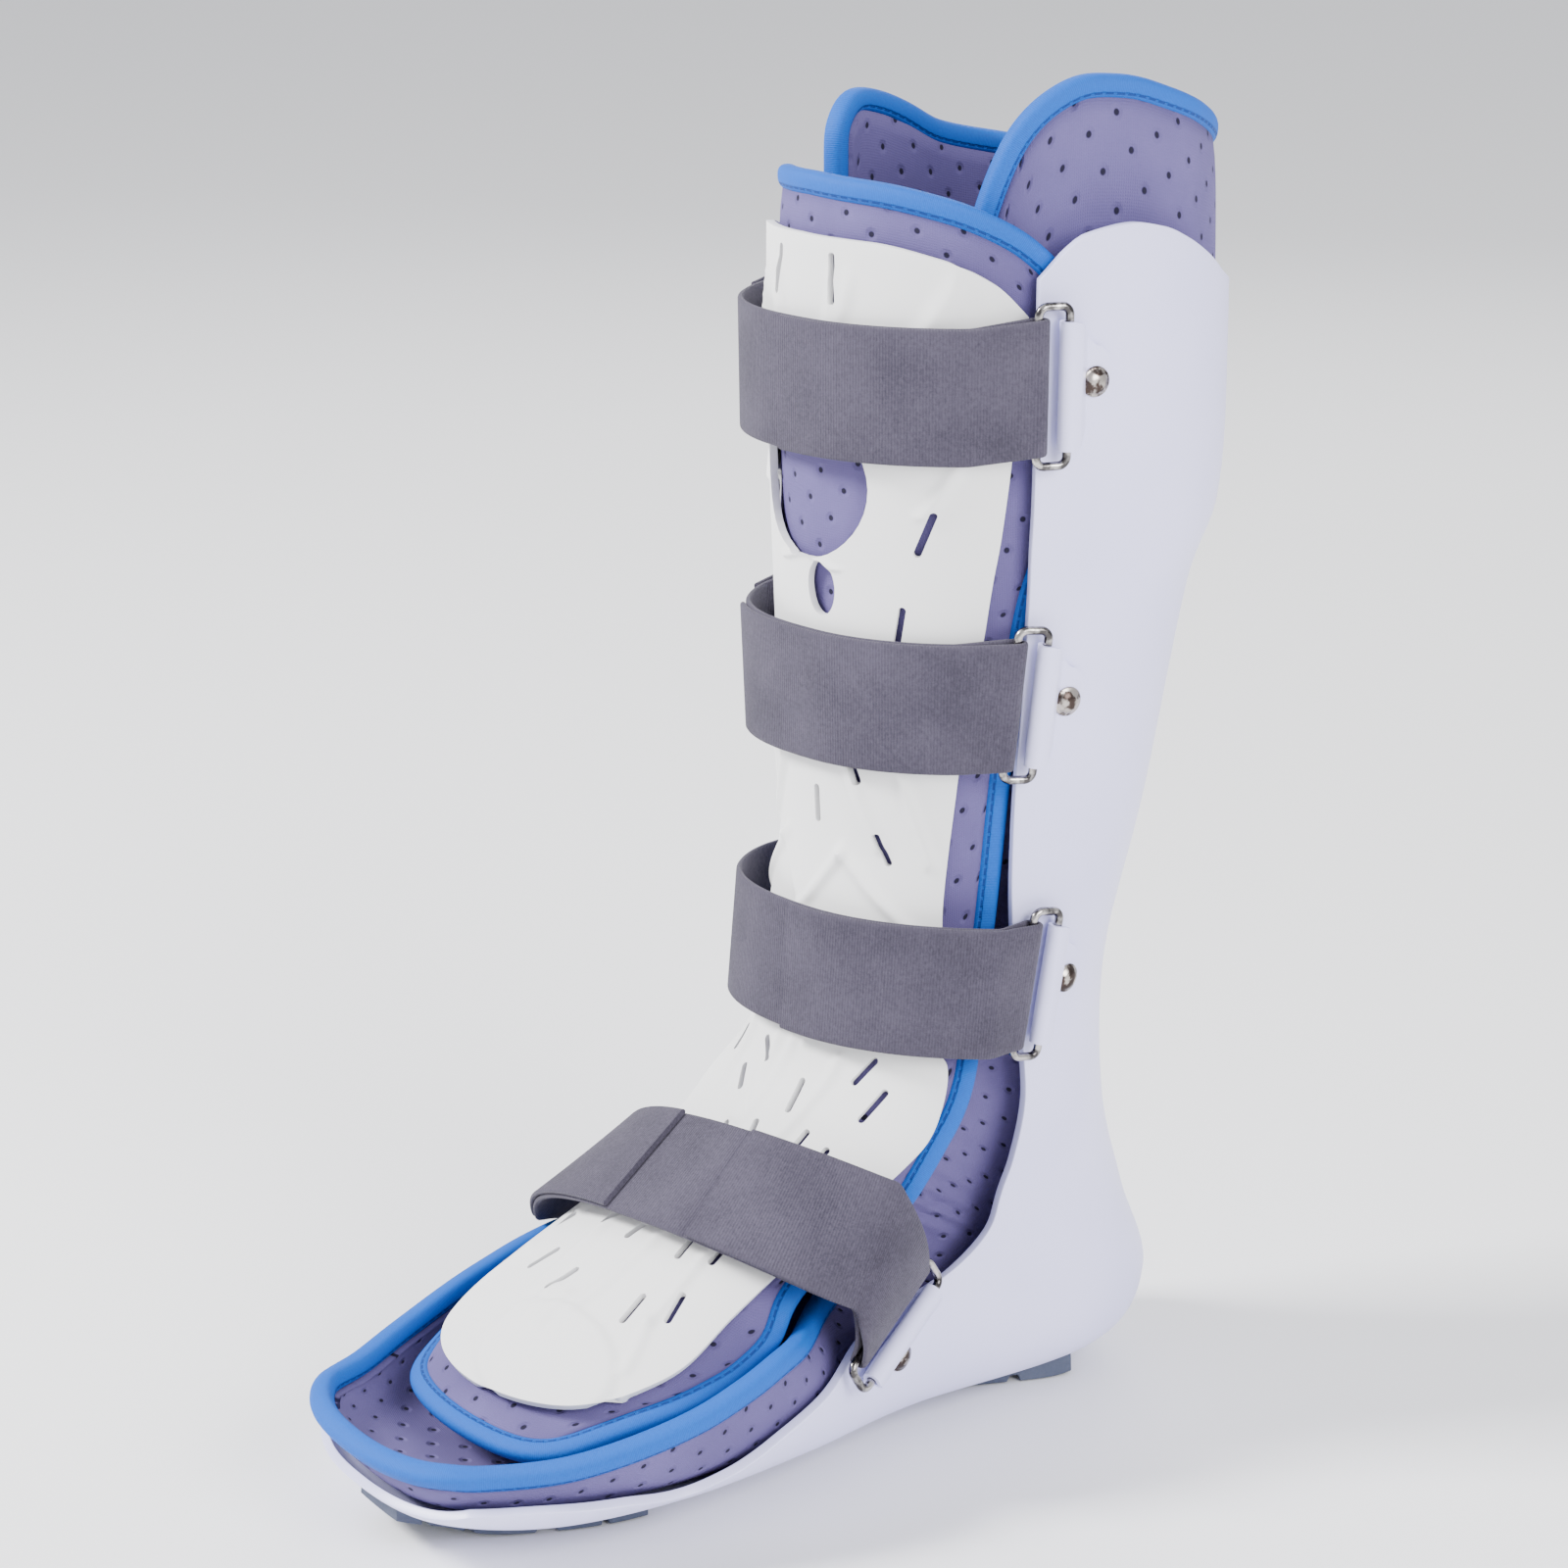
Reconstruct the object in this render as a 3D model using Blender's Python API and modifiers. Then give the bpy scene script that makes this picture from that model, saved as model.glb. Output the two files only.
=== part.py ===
"""Ankle immobilizer: a below-knee brace with a moulded rear shell, a foam liner and a tongue.

Metres, +Z up. The origin lies on the underside of the heel tread, below the ankle, and the toes
point to -Y. The side at +X is called near and the side at -X far. Every piece is a patch on, or a
band over, one of two surfaces: the cradle, which wraps the calf, heel and foot from behind and
below, and the lid, which covers the shin, instep and toes.
"""

import math

import bmesh
import bpy
import numpy as np
from mathutils import Matrix

# Driving sizes of the leg and foot that the brace encloses
LEG_RISE = 0.307
ANKLE_RISE = 0.1095
CALF_DEPTH = 0.141
CALF_WIDTH = 0.114
FOOT_LENGTH = 0.284
FOOT_WIDTH = 0.128

# Walls, the gap kept between pieces, and the wider one kept between two faceted skins
CLEAR = 0.0003
SKIN_GAP = 0.0012
SHELL_WALL = 0.003
LINER_WALL = 0.006
TONGUE_WALL = 0.005
PLATE_WALL = 0.0025
TREAD_DEPTH = 0.0035

# Binding tape: its fold over the foam faces, its width on the rim and its gap to the foam
BINDING_FOLD = 0.0008
BINDING_WIDTH = 0.0072
BINDING_GAP = 0.0009

# Straps, rings, tabs and rivets
STRAP_WIDTH = 0.040
STRAP_THICKNESS = 0.0018
STRAP_GAP = 0.0016
RING_WIRE = 0.0026
RING_DEPTH = 0.0094
RING_CORNER = 0.0026
RING_SLACK = 0.0007
TAB_THICKNESS = 0.0013
TAB_WIDTH = 0.038
TAB_REACH = 0.0094
TAB_GAP = 0.0007
TAPER_AT_RIVET = 0.56
RIVET_RADIUS = 0.0045
RIVET_HEIGHT = 0.0024

# The tab's layers behind the bar: where the lower one ends, as a share of the reach, and the upper
# one as shares of the reach and of the half width
TAB_UNDER = 0.25
TAB_TAPER = (
    (0.55, 0.84), (1.00, TAPER_AT_RIVET), (1.45, 0.36), (1.64, 0.14),
)

# Slots in the plates
SLOT_WIDTH = 0.0024

# Heights above the cradle surface, which is the outer face of the rear liner
SHELL_LIFT = SKIN_GAP + SHELL_WALL
TONGUE_LIFT = -BINDING_FOLD
PLATE_LIFT = TONGUE_LIFT + SKIN_GAP + PLATE_WALL
TUCK = TONGUE_WALL + 2 * BINDING_FOLD + 2 * SKIN_GAP - TONGUE_LIFT
RING_LIFT = SHELL_LIFT + 2 * CLEAR + STRAP_THICKNESS + CLEAR + RING_WIRE / 2
SOLE_HEIGHT = TREAD_DEPTH + SKIN_GAP + SHELL_LIFT

# Sections of the leg. Depths are shares of CALF_DEPTH from the leg's axis, heights are shares of
# LEG_RISE above the ankle, and half widths are shares of CALF_WIDTH.
LEG_SECTIONS = (
    # name    front   back   height  half width
    ("top", -0.376, 0.596, 1.000, 0.509),
    ("calf", -0.383, 0.617, 0.723, 0.500),
    ("belly", -0.376, 0.610, 0.560, 0.487),
    ("step", -0.365, 0.525, 0.469, 0.474),
    ("shin", -0.355, 0.433, 0.251, 0.412),
    ("low", -0.369, 0.337, 0.085, 0.382),
)

# Sections of the foot, turning from level at the ankle to upright at the toes. Distances along
# the foot are shares of FOOT_LENGTH, heights above the sole are shares of ANKLE_RISE, and half
# widths are shares of FOOT_WIDTH. The flare is what the side walls gain towards their rim.
FOOT_SECTIONS = (
    # name     front y  front z  back y  back z  half width  squareness  flare
    ("ankle", -0.201, 1.000, 0.169, 0.788, 0.328, 1.05, 0.0),
    ("heel_top", -0.236, 0.889, 0.204, 0.450, 0.320, 1.10, 0.0),
    ("heel", -0.275, 0.816, 0.236, 0.167, 0.328, 1.20, 0.0),
    ("base", -0.317, 0.761, 0.158, 0.000, 0.328, 1.40, 0.0),
    ("arch", -0.352, 0.706, -0.106, 0.000, 0.359, 1.45, 0.025),
    ("waist", -0.394, 0.669, -0.282, 0.000, 0.450, 1.45, 0.050),
    ("ball", -0.475, 0.615, -0.458, 0.000, 0.500, 1.40, 0.030),
    ("toes", -0.563, 0.505, -0.606, 0.012, 0.453, 1.35, 0.015),
    ("toe_end", -0.606, 0.414, -0.715, 0.076, 0.375, 1.25, 0.0),
    ("toe_rim", -0.599, 0.286, -0.764, 0.204, 0.344, 1.15, 0.0),
)

# Sections of the tongue below the shin, each an arch from its crest down to its sides. Lengths are
# shares of FOOT_LENGTH, heights above the sole of ANKLE_RISE, and half widths of FOOT_WIDTH.
TONGUE_SECTIONS = (
    # name     crest y  crest z  side y  side z  half width
    ("bend", -0.204, 1.053, 0.141, -0.128, 0.391),
    ("instep", -0.239, 0.925, 0.092, -0.164, 0.406),
    ("upper", -0.289, 0.806, 0.070, -0.201, 0.391),
    ("middle", -0.345, 0.697, 0.049, -0.219, 0.391),
    ("waist", -0.401, 0.605, 0.035, -0.247, 0.422),
    ("ball", -0.461, 0.514, 0.021, -0.274, 0.453),
    ("toes", -0.528, 0.414, 0.014, -0.237, 0.4375),
    ("tip", -0.606, 0.295, 0.011, -0.201, 0.391),
    ("end", -0.648, 0.222, 0.007, -0.183, 0.359),
)

# Stations that the rows of the shell and of its liner share below their top outlines
ROW_STATIONS = (
    2.0, 2.75, 3.5, 4.9, 5.5, 6.25, 7.0, 7.5, 8.0, 8.4, 8.8, 9.3, 9.9, 10.4, 10.8, 11.3, 11.9, 12.5,
    13.1, 13.8,
)

# Outlines. A station counts sections from the top of the leg, an angle is in degrees from the back
# of the cradle or from the crest of the lid, and a height is a share of LEG_RISE above the ankle.
SHELL_TOP = (
    # angle, height
    (-112, 0.800), (-105, 0.828), (-100, 0.840), (-88, 0.847), (-78, 0.840), (-68, 0.824),
    (-58, 0.804), (-45, 0.778), (-25, 0.760), (0, 0.755), (25, 0.760), (45, 0.778),
    (58, 0.804), (68, 0.824), (78, 0.840), (88, 0.847), (100, 0.840), (105, 0.828), (112, 0.800),
)
SHELL_EDGE = (
    # station, angle
    (0.0, 112), (2.0, 112), (3.0, 110), (3.7, 108), (4.2, 105), (5.5, 90), (5.9, 88), (6.6, 91),
    (7.6, 97), (8.5, 99), (9.2, 98), (10.0, 92), (10.55, 86), (11.3, 73), (11.8, 59),
    (12.1, 54), (12.65, 62), (13.25, 65), (14.0, 58), (14.4, 34),
)
SHELL_END = 14.4
LINER_TOP = (
    # angle, height
    (-122, 0.905), (-114, 0.925), (-105, 0.920), (-95, 0.908), (-80, 0.884), (-60, 0.868),
    (-40, 0.858), (-15, 0.862), (15, 0.884), (35, 0.902), (55, 0.926), (70, 0.945),
    (82, 0.958), (92, 0.960), (100, 0.951), (106, 0.938), (112, 0.915), (118, 0.872), (122, 0.830),
)
LINER_EDGE = (
    # station, angle
    (0.0, 122), (8.0, 121), (9.0, 113), (9.8, 103), (10.4, 99), (11.0, 98), (11.5, 92),
    (12.0, 85), (13.0, 77), (14.0, 69), (14.5, 58), (14.8, 42),
)
LINER_END = 14.8
TONGUE_TOP = (
    # angle, height
    (0, 0.866), (25, 0.866), (35, 0.860), (45, 0.847), (55, 0.838), (62, 0.822), (72, 0.790),
)
TONGUE_EDGE = (
    # station, angle
    (0.0, 72), (2.0, 71), (3.7, 66), (4.4, 67), (5.6, 69), (6.35, 70), (6.85, 74), (7.4, 78),
    (8.1, 74), (8.8, 66), (9.3, 68), (9.8, 76), (10.3, 73), (10.85, 66), (11.8, 57), (12.4, 50),
    (13.0, 39), (13.55, 20),
)
TONGUE_END = 13.55
SHIN_TOP = (
    # angle, height
    (0, 0.833), (28, 0.834), (40, 0.824), (50, 0.811), (58, 0.795), (66, 0.765),
)
SHIN_EDGE = (
    # station, angle
    (0.8, 66), (1.4, 63), (2.3, 60), (3.0, 59), (3.7, 55), (4.3, 54), (4.9, 57), (5.3, 58), (5.55, 50),
)
SHIN_END = 5.55
INSTEP_START = 4.95
INSTEP_EDGE = (
    # station, angle
    (4.95, 48), (5.4, 56), (5.65, 64), (6.1, 67), (6.75, 71), (7.3, 69), (9.1, 62), (10.2, 57),
    (11.0, 60), (11.7, 57), (12.4, 48), (12.8, 37), (13.05, 18),
)
INSTEP_END = 13.05

# Where the side walls of the foot start to flare and where they have all of it
FLARE_ANGLES = (50, 100)

# Where the rear liner passes from the outside of the tongue at the toes to under it at the ankle
TUCK_ANGLES = (70, 94)
TUCK_STATIONS = (8.9, 11.1)

# Where the foam comes a little away from the shell, round the tighter curves of the foot
FOOT_SLACK = 0.0008
FOOT_STATIONS = (6.0, 8.0)

# Where the shin plate rises over the upper end of the instep plate
LAP_STATIONS = (4.0, 4.8)
LAP_RISE = PLATE_WALL + 1.5 * SKIN_GAP

# Openings of the shin plate: two ovals on its middle line, as stations, angles and half sizes
OVALS = (
    # station, angle, half height, half width
    (1.72, 1.5, 0.0235, 0.0245),
    (2.80, 9.0, 0.0085, 0.0055),
)

# Slots, each from one station and angle to another. The shin plate's are repeated on its far side.
SHIN_SLOTS = (
    (0.62, 14, 0.80, 15), (1.85, 44, 2.25, 39), (2.88, 36, 3.20, 34), (3.55, 17, 3.76, 24),
    (3.98, 30, 4.15, 36),
)
SHIN_MIDDLE_SLOT = (3.80, 6, 3.98, 7)
SHIN_SLOT_MIDDLE = 3
INSTEP_SLOTS = (
    (6.05, -12, 6.45, -3), (6.70, -16, 7.15, -9), (6.45, 15, 7.12, 17), (5.72, 39, 6.20, 33),
    (6.12, 46, 6.73, 43), (7.45, 8, 7.80, 11), (7.70, -3, 8.00, -2), (7.20, 29, 7.58, 29),
    (7.28, 40, 7.60, 40), (9.53, 23, 10.03, 24), (9.33, 36, 9.75, 36), (9.83, 3, 10.25, 1),
    (9.88, -10, 10.25, -13), (10.90, -19, 11.40, -24), (11.05, -3, 11.60, -6),
    (10.75, 25, 11.30, 27), (10.33, 36, 10.83, 39), (6.10, -34, 6.60, -31), (9.50, -34, 10.0, -35),
    (10.2, -32, 10.7, -35),
)

# Straps. The stations are those of the middle line at 60 degrees to the far side, at the crest and
# at 60 degrees to the near side. The rings have their own station, angle and turn on the cradle. The
# strap leaves the lid at the leave angle, bows out on its way to the ring, and each end is folded
# back as far as its own angle on the lid.
STRAPS = (
    # name, far, crest, near, ring station, ring angle, turn, leave, bow, fold far, fold near
    ("calf", 1.15, 1.15, 1.15, 1.10, 109.5, 0, 52, 0.0, -40, -1),
    ("shin", 3.40, 3.40, 3.40, 3.38, 109.5, 0, 52, 0.0, -40, -30),
    ("ankle", 4.88, 4.82, 4.88, 4.90, 92.3, 0, 72, 0.0, -45, 4),
    ("instep", 9.35, 8.98, 8.30, 9.85, 94.0, 25, 80, 0.003, -9, 24),
)

# Treads as pairs of stations, one pair for each block between grooves, and half angles
HEEL_BLOCKS = ((9.12, 9.38), (9.44, 9.70), (9.76, 9.90))
HEEL_ANGLE = 44
FOREFOOT_BLOCKS = ((12.05, 12.33), (12.39, 12.68), (12.84, 13.28), (13.36, 13.64), (13.73, 14.00))
FOREFOOT_ANGLE = 40
GROOVE_DEPTH = 0.0022

# Where the underside of a tread would lie this close to the ground, it is filled down to it
TREAD_FILL = 0.003

COLOURS = {
    # name: (colour, roughness, metallic)
    "shell_white": ((0.72, 0.72, 0.85, 1.0), 0.35, 0.0),
    "foam_lilac": ((0.25, 0.22, 0.40, 1.0), 0.9, 0.0),
    "binding_blue": ((0.01, 0.26, 0.75, 1.0), 0.7, 0.0),
    "strap_grey": ((0.19, 0.18, 0.22, 1.0), 0.95, 0.0),
    "steel": ((0.60, 0.58, 0.56, 1.0), 0.25, 1.0),
    "tread_slate": ((0.05, 0.06, 0.11, 1.0), 0.8, 0.0),
}


def clear_scene():
    for obj in list(bpy.data.objects):
        bpy.data.objects.remove(obj, do_unlink=True)


def collection(name):
    group = bpy.data.collections.new(name)
    bpy.context.scene.collection.children.link(group)
    return group


def material(name):
    colour, roughness, metallic = COLOURS[name]
    mat = bpy.data.materials.get(name) or bpy.data.materials.new(name)
    mat.use_nodes = True
    shader = mat.node_tree.nodes["Principled BSDF"]
    shader.inputs["Base Color"].default_value = colour
    shader.inputs["Roughness"].default_value = roughness
    shader.inputs["Metallic"].default_value = metallic
    return mat


def smooth_row(column, station):
    """A column of a table of sections, read at any station by a Catmull-Rom curve."""
    station = np.clip(np.asarray(station, float), 0, len(column) - 1)
    i = np.minimum(station.astype(int), len(column) - 2)
    f = station - i
    ends = np.concatenate([[2 * column[0] - column[1]], column, [2 * column[-1] - column[-2]]])
    a, b, c, d = ends[i], ends[i + 1], ends[i + 2], ends[i + 3]
    return b + 0.5 * f * (c - a + f * (2 * a - 5 * b + 4 * c - d + f * (3 * (b - c) + d - a)))


def outline(table, x):
    """An outline's value at x: a cubic through the table's rows, flat at its local extremes."""
    xs, ys = np.array(table, float).T
    slope = np.diff(ys) / np.diff(xs)
    inner = np.where(slope[1:] * slope[:-1] > 0, 2 * slope[1:] * slope[:-1] / (slope[1:] + slope[:-1] + 1e-12), 0)
    tangent = np.concatenate([slope[:1], inner, slope[-1:]])
    x = np.clip(np.asarray(x, float), xs[0], xs[-1])
    i = np.clip(np.searchsorted(xs, x, side="right") - 1, 0, len(xs) - 2)
    h = xs[i + 1] - xs[i]
    f = (x - xs[i]) / h
    start = (1 + 2 * f) * (1 - f) ** 2 * ys[i] + f * (1 - f) ** 2 * h * tangent[i]
    return start + f * f * (3 - 2 * f) * ys[i + 1] + f * f * (f - 1) * h * tangent[i + 1]


def ramp(x, start, end):
    f = np.clip((np.asarray(x, float) - start) / (end - start), 0, 1)
    return f * f * (3 - 2 * f)


def unit(v):
    return v / np.maximum(np.linalg.norm(v, axis=-1, keepdims=True), 1e-12)


def leg_rows():
    """The leg's sections in metres: front y and z, back y and z, half width, squareness, flare."""
    ankle = SOLE_HEIGHT + ANKLE_RISE
    rows = []
    for _, front, back, height, half in LEG_SECTIONS:
        z = ankle + height * LEG_RISE
        rows.append((front * CALF_DEPTH, z, back * CALF_DEPTH, z, half * CALF_WIDTH, 1.0, 0.0))
    return rows


def foot_rows():
    """The foot's sections in metres, in the same columns."""
    rows = []
    for _, front_y, front_z, back_y, back_z, half, square, flare in FOOT_SECTIONS:
        rows.append((front_y * FOOT_LENGTH, SOLE_HEIGHT + front_z * ANKLE_RISE, back_y * FOOT_LENGTH,
                     SOLE_HEIGHT + back_z * ANKLE_RISE, half * FOOT_WIDTH, square, flare * FOOT_WIDTH))
    return rows


def tongue_rows():
    """The lid's sections in metres: crest y and z, side y and z from the crest, half width."""
    rows = []
    for front_y, front_z, back_y, _, half, _, _ in leg_rows():
        rows.append((front_y, front_z, (back_y - front_y) / 2, 0.0, half))
    for _, crest_y, crest_z, side_y, side_z, half in TONGUE_SECTIONS:
        rows.append((crest_y * FOOT_LENGTH, SOLE_HEIGHT + crest_z * ANKLE_RISE, side_y * FOOT_LENGTH,
                     side_z * ANKLE_RISE, half * FOOT_WIDTH))
    return rows


class Skin:
    """A surface lofted through sections, given by a station along it and an angle round it.

    Turning from the angle's direction to the station's gives a normal that faces out where outward
    is 1, and in where it is -1.
    """

    def __init__(self, rows, outward):
        self.columns = np.array(rows, float).T
        self.last = len(rows) - 1
        self.outward = outward

    def read(self, station):
        return [smooth_row(column, station) for column in self.columns]

    def speed(self, station, angle):
        """Changes of place for one station and for one degree."""
        step = 0.02
        ahead = np.minimum(np.asarray(station, float) + step, self.last)
        behind = np.maximum(np.asarray(station, float) - step, 0)
        along = (self.point(ahead, angle) - self.point(behind, angle)) / np.asarray(ahead - behind)[..., None]
        across = self.point(station, np.asarray(angle) + 0.5) - self.point(station, np.asarray(angle) - 0.5)
        return along, across

    def normal(self, station, angle):
        along, across = self.speed(station, angle)
        return unit(np.cross(across, along)) * self.outward

    def at(self, station, angle, lift=0.0):
        station, angle, lift = np.broadcast_arrays(np.asarray(station, float), angle, lift)
        return self.point(station, angle) + self.normal(station, angle) * lift[..., None]

    def bulge(self, station, angle, half, cover):
        """How far a cover over the skin stands above it within half a band's width either way."""
        station, angle = np.broadcast_arrays(np.asarray(station, float), np.asarray(angle, float))
        along, _ = self.speed(station, angle)
        normal = self.normal(station, angle)
        middle = self.point(station, angle)
        reach = half / np.linalg.norm(along, axis=-1)
        heights = []
        for share in np.linspace(-1.3, 1.3, 9):
            beside = np.clip(station + share * reach, 0, self.last)
            top = self.at(beside, angle, cover(beside, angle))
            heights.append(((top - middle) * normal).sum(-1))
        return np.max(heights, axis=0)

    def station_at(self, height):
        """The station on the leg whose section lies at a share of LEG_RISE above the ankle."""
        stations = np.linspace(0, len(LEG_SECTIONS) - 1, 101)
        heights = smooth_row(np.array([row[3] for row in LEG_SECTIONS]), stations)
        return np.interp(-np.asarray(height), -heights, stations)


class Cradle(Skin):
    """Superellipse sections: the angle is 0 at the back or sole and 180 at the front."""

    def point(self, station, angle):
        front_y, front_z, back_y, back_z, half, square, flare = self.read(station)
        turn = np.radians(angle)
        s, c = np.sin(turn), np.cos(turn)
        power = 2 * square
        k = (np.abs(s) ** power + np.abs(c) ** power) ** (-1 / power)
        half = half + flare * ramp(np.abs(angle), *FLARE_ANGLES)
        y = (front_y + back_y) / 2 + (back_y - front_y) / 2 * c * k
        z = (front_z + back_z) / 2 + (back_z - front_z) / 2 * c * k
        return np.stack([half * s * k, y, z], -1)


class Lid(Skin):
    """Elliptical arches: the angle is 0 at the crest."""

    def point(self, station, angle):
        crest_y, crest_z, side_y, side_z, half = self.read(station)
        turn = np.radians(angle)
        drop = 1 - np.cos(turn)
        return np.stack([half * np.sin(turn), crest_y + side_y * drop, crest_z + side_z * drop], -1)


def finish(obj, group, colour):
    group.objects.link(obj)
    obj.data.materials.append(material(colour))
    obj.data.shade_smooth()
    obj.data.set_sharp_from_angle(angle=math.radians(35))
    return obj


def mesh_object(name, points, faces):
    mesh = bpy.data.meshes.new(name)
    mesh.from_pydata([tuple(p) for p in np.asarray(points).reshape(-1, 3)], [], faces)
    mesh.update()
    return bpy.data.objects.new(name, mesh)


def recalculate(obj):
    """Turns the faces of a closed mesh outward."""
    bm = bmesh.new()
    bm.from_mesh(obj.data)
    bmesh.ops.recalc_face_normals(bm, faces=bm.faces)
    bm.to_mesh(obj.data)
    bm.free()


def patch_grid(skin, top, upper_rows, stations, edge, lift, columns):
    """The points of a patch, from its top outline down its stations, between two side edges.

    The upper rows share out the way from the top outline to the first station, and the columns run
    from the far edge to the near edge.
    """
    share = np.linspace(-1, 1, columns)[None, :]
    stations = np.array(stations, float)[:, None] + 0 * share
    upper = top(share) + (stations[:1] - top(share)) * np.arange(upper_rows)[:, None] / upper_rows
    station = np.concatenate([upper, stations])
    angle = share * outline(edge, station)
    return skin.at(station, angle, lift(station, angle))


def sheet(name, skin, points, wall, group, colour):
    """An open grid of points thickened inward by Solidify."""
    rows, columns = points.shape[:2]
    index = np.arange(rows * columns).reshape(rows, columns)
    quads = np.stack([index[:-1, :-1], index[:-1, 1:], index[1:, 1:], index[1:, :-1]], -1).reshape(-1, 4)
    obj = mesh_object(name, points, quads[:, ::skin.outward].tolist())
    solid = obj.modifiers.new("Wall", "SOLIDIFY")
    solid.thickness = wall
    solid.offset = -1
    solid.use_even_offset = True
    return finish(obj, group, colour)


def loft(name, sections, closed, group, colour):
    """A closed body through a row of sections with as many points each."""
    count, sides = sections.shape[:2]
    index = np.arange(count * sides).reshape(count, sides)
    faces = []
    for i in range(count if closed else count - 1):
        here = index[i]
        there = index[(i + 1) % count]
        for k in range(sides):
            j = (k + 1) % sides
            faces.append((here[k], here[j], there[j], there[k]))
    if not closed:
        faces.append(tuple(index[0][::-1]))
        faces.append(tuple(index[-1]))
    obj = mesh_object(name, sections, [tuple(int(v) for v in face) for face in faces])
    recalculate(obj)
    return finish(obj, group, colour)


def rim_loop(obj, rows, columns):
    """The rim of a thickened sheet: its middle line and the direction through the wall.

    Solidify keeps the grid's points first and adds their inner twins after them in the same order.
    """
    solid = obj.evaluated_get(bpy.context.evaluated_depsgraph_get()).to_mesh()
    count = rows * columns
    points = np.array([vertex.co[:] for vertex in solid.vertices])
    obj.to_mesh_clear()
    outer = points[:count].reshape(rows, columns, 3)
    inner = points[count:2 * count].reshape(rows, columns, 3)

    def around(field):
        return np.concatenate([field[0, :-1], field[:-1, -1], field[-1, :0:-1], field[:0:-1, 0]])

    outer, inner = around(outer), around(inner)
    return (outer + inner) / 2, unit(outer - inner)


def binding(name, skin, foam, grid, wall, group):
    """A D-shaped band of tape seated on the rim of a foam sheet."""
    points, normals = rim_loop(foam, *grid.shape[:2])
    tangent = unit(np.roll(points, -1, axis=0) - np.roll(points, 1, axis=0))
    outward = unit(np.cross(tangent, normals)) * skin.outward
    half = wall / 2 + BINDING_FOLD
    profile = (
        # outward, along the normal
        (BINDING_GAP, -half), (BINDING_WIDTH * 0.65, -half), (BINDING_WIDTH, 0.0),
        (BINDING_WIDTH * 0.65, half), (BINDING_GAP, half),
    )
    sections = np.stack([points + outward * out + normals * up for out, up in profile], 1)
    return loft(name, sections, True, group, "binding_blue")


def liner_lift(station, angle):
    inside = ramp(np.abs(angle), *TUCK_ANGLES) * (1 - ramp(station, *TUCK_STATIONS))
    return -TUCK * inside - FOOT_SLACK * ramp(station, *FOOT_STATIONS)


def lap_lift(station, angle):
    return PLATE_LIFT + LAP_RISE * ramp(station, *LAP_STATIONS) + 0 * angle


def level(lift):
    return lambda station, *_: lift + 0 * station


def top_by_share(skin, table):
    """A top outline as a function of the share of the way from the middle to an edge."""
    last = table[-1][0]

    def top(share):
        angle = share * last
        return skin.station_at(outline(table, angle if table[0][0] < 0 else np.abs(angle)))

    return top


def strip(name, left, right, out, thickness, group, colour):
    """A band between two edge lines, thick along the directions out."""
    half = out * thickness / 2
    sections = np.stack([left + half, right + half, right - half, left - half], 1)
    return loft(name, sections, False, group, colour)


class Anchor:
    """A strap's ring at one side, lying over the shell, and the shell behind it.

    The bar direction runs along the stations, and forward runs round the cradle to the front. A
    turn leans both, so that the lower end of the bar moves back, and the bar then lies level with
    the shell under its two ends.
    """

    def __init__(self, cradle, station, angle, turn, side):
        self.cradle = cradle
        self.station = station
        self.angle = side * angle
        self.foot = cradle.at(station, self.angle, SHELL_LIFT)
        self.normal = cradle.normal(station, self.angle)
        along, across = cradle.speed(station, self.angle)
        along = unit(along - self.normal * np.dot(along, self.normal))
        ahead = unit(np.cross(along, self.normal))
        ahead *= np.sign(np.dot(ahead, across) * side)
        turn = math.radians(turn)
        self.bar = along * math.cos(turn) - ahead * math.sin(turn)
        self.forward = ahead * math.cos(turn) + along * math.sin(turn)
        half = STRAP_WIDTH / 2 + RING_CORNER
        ends = [self.land(self.foot + self.bar * side)[0] for side in (-half, half)]
        self.bar = unit(self.bar + self.normal * np.dot(ends[1] - ends[0], self.normal) / (2 * half))
        self.normal = unit(self.normal - self.bar * np.dot(self.normal, self.bar))
        back = -RING_DEPTH / 2 - TAB_REACH * TAB_UNDER
        stood = max(self.stand(ahead, half) for ahead in np.linspace(back, RING_DEPTH / 2, 4))
        self.centre = self.foot + self.normal * (stood + RING_LIFT - SHELL_LIFT)

    def land(self, point):
        """The place on the shell under a point, seen along the ring's normal, and its normal."""
        station, angle = self.station, self.angle
        axes = np.array([self.bar, self.forward])
        for _ in range(6):
            away = axes @ (point - self.cradle.at(station, angle, SHELL_LIFT))
            step = np.linalg.solve(axes @ np.array(self.cradle.speed(station, angle)).T, away)
            station, angle = station + step[0], angle + step[1]
        return self.cradle.at(station, angle, SHELL_LIFT), self.cradle.normal(station, angle)

    def stand(self, ahead, half):
        """The height at which a straight row across the ring's direction clears the shell."""
        places = [self.land(self.foot + self.forward * ahead + self.bar * side)[0]
                  for side in np.linspace(-half, half, 5)]
        return max(np.dot(place - self.foot, self.normal) for place in places)

    def strap_bar(self):
        return self.centre + self.forward * RING_DEPTH / 2

    def tab_bar(self):
        return self.centre - self.forward * RING_DEPTH / 2

    def seat(self, distance, half, lift):
        """Both edges of a row at a distance behind the tab's bar, over the shell, and its normal."""
        ahead = -RING_DEPTH / 2 - distance
        _, out = self.land(self.foot + self.forward * ahead)
        middle = self.foot + self.forward * ahead + self.normal * self.stand(ahead, half) + out * lift
        return middle - self.bar * half, middle + self.bar * half, out


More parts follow.
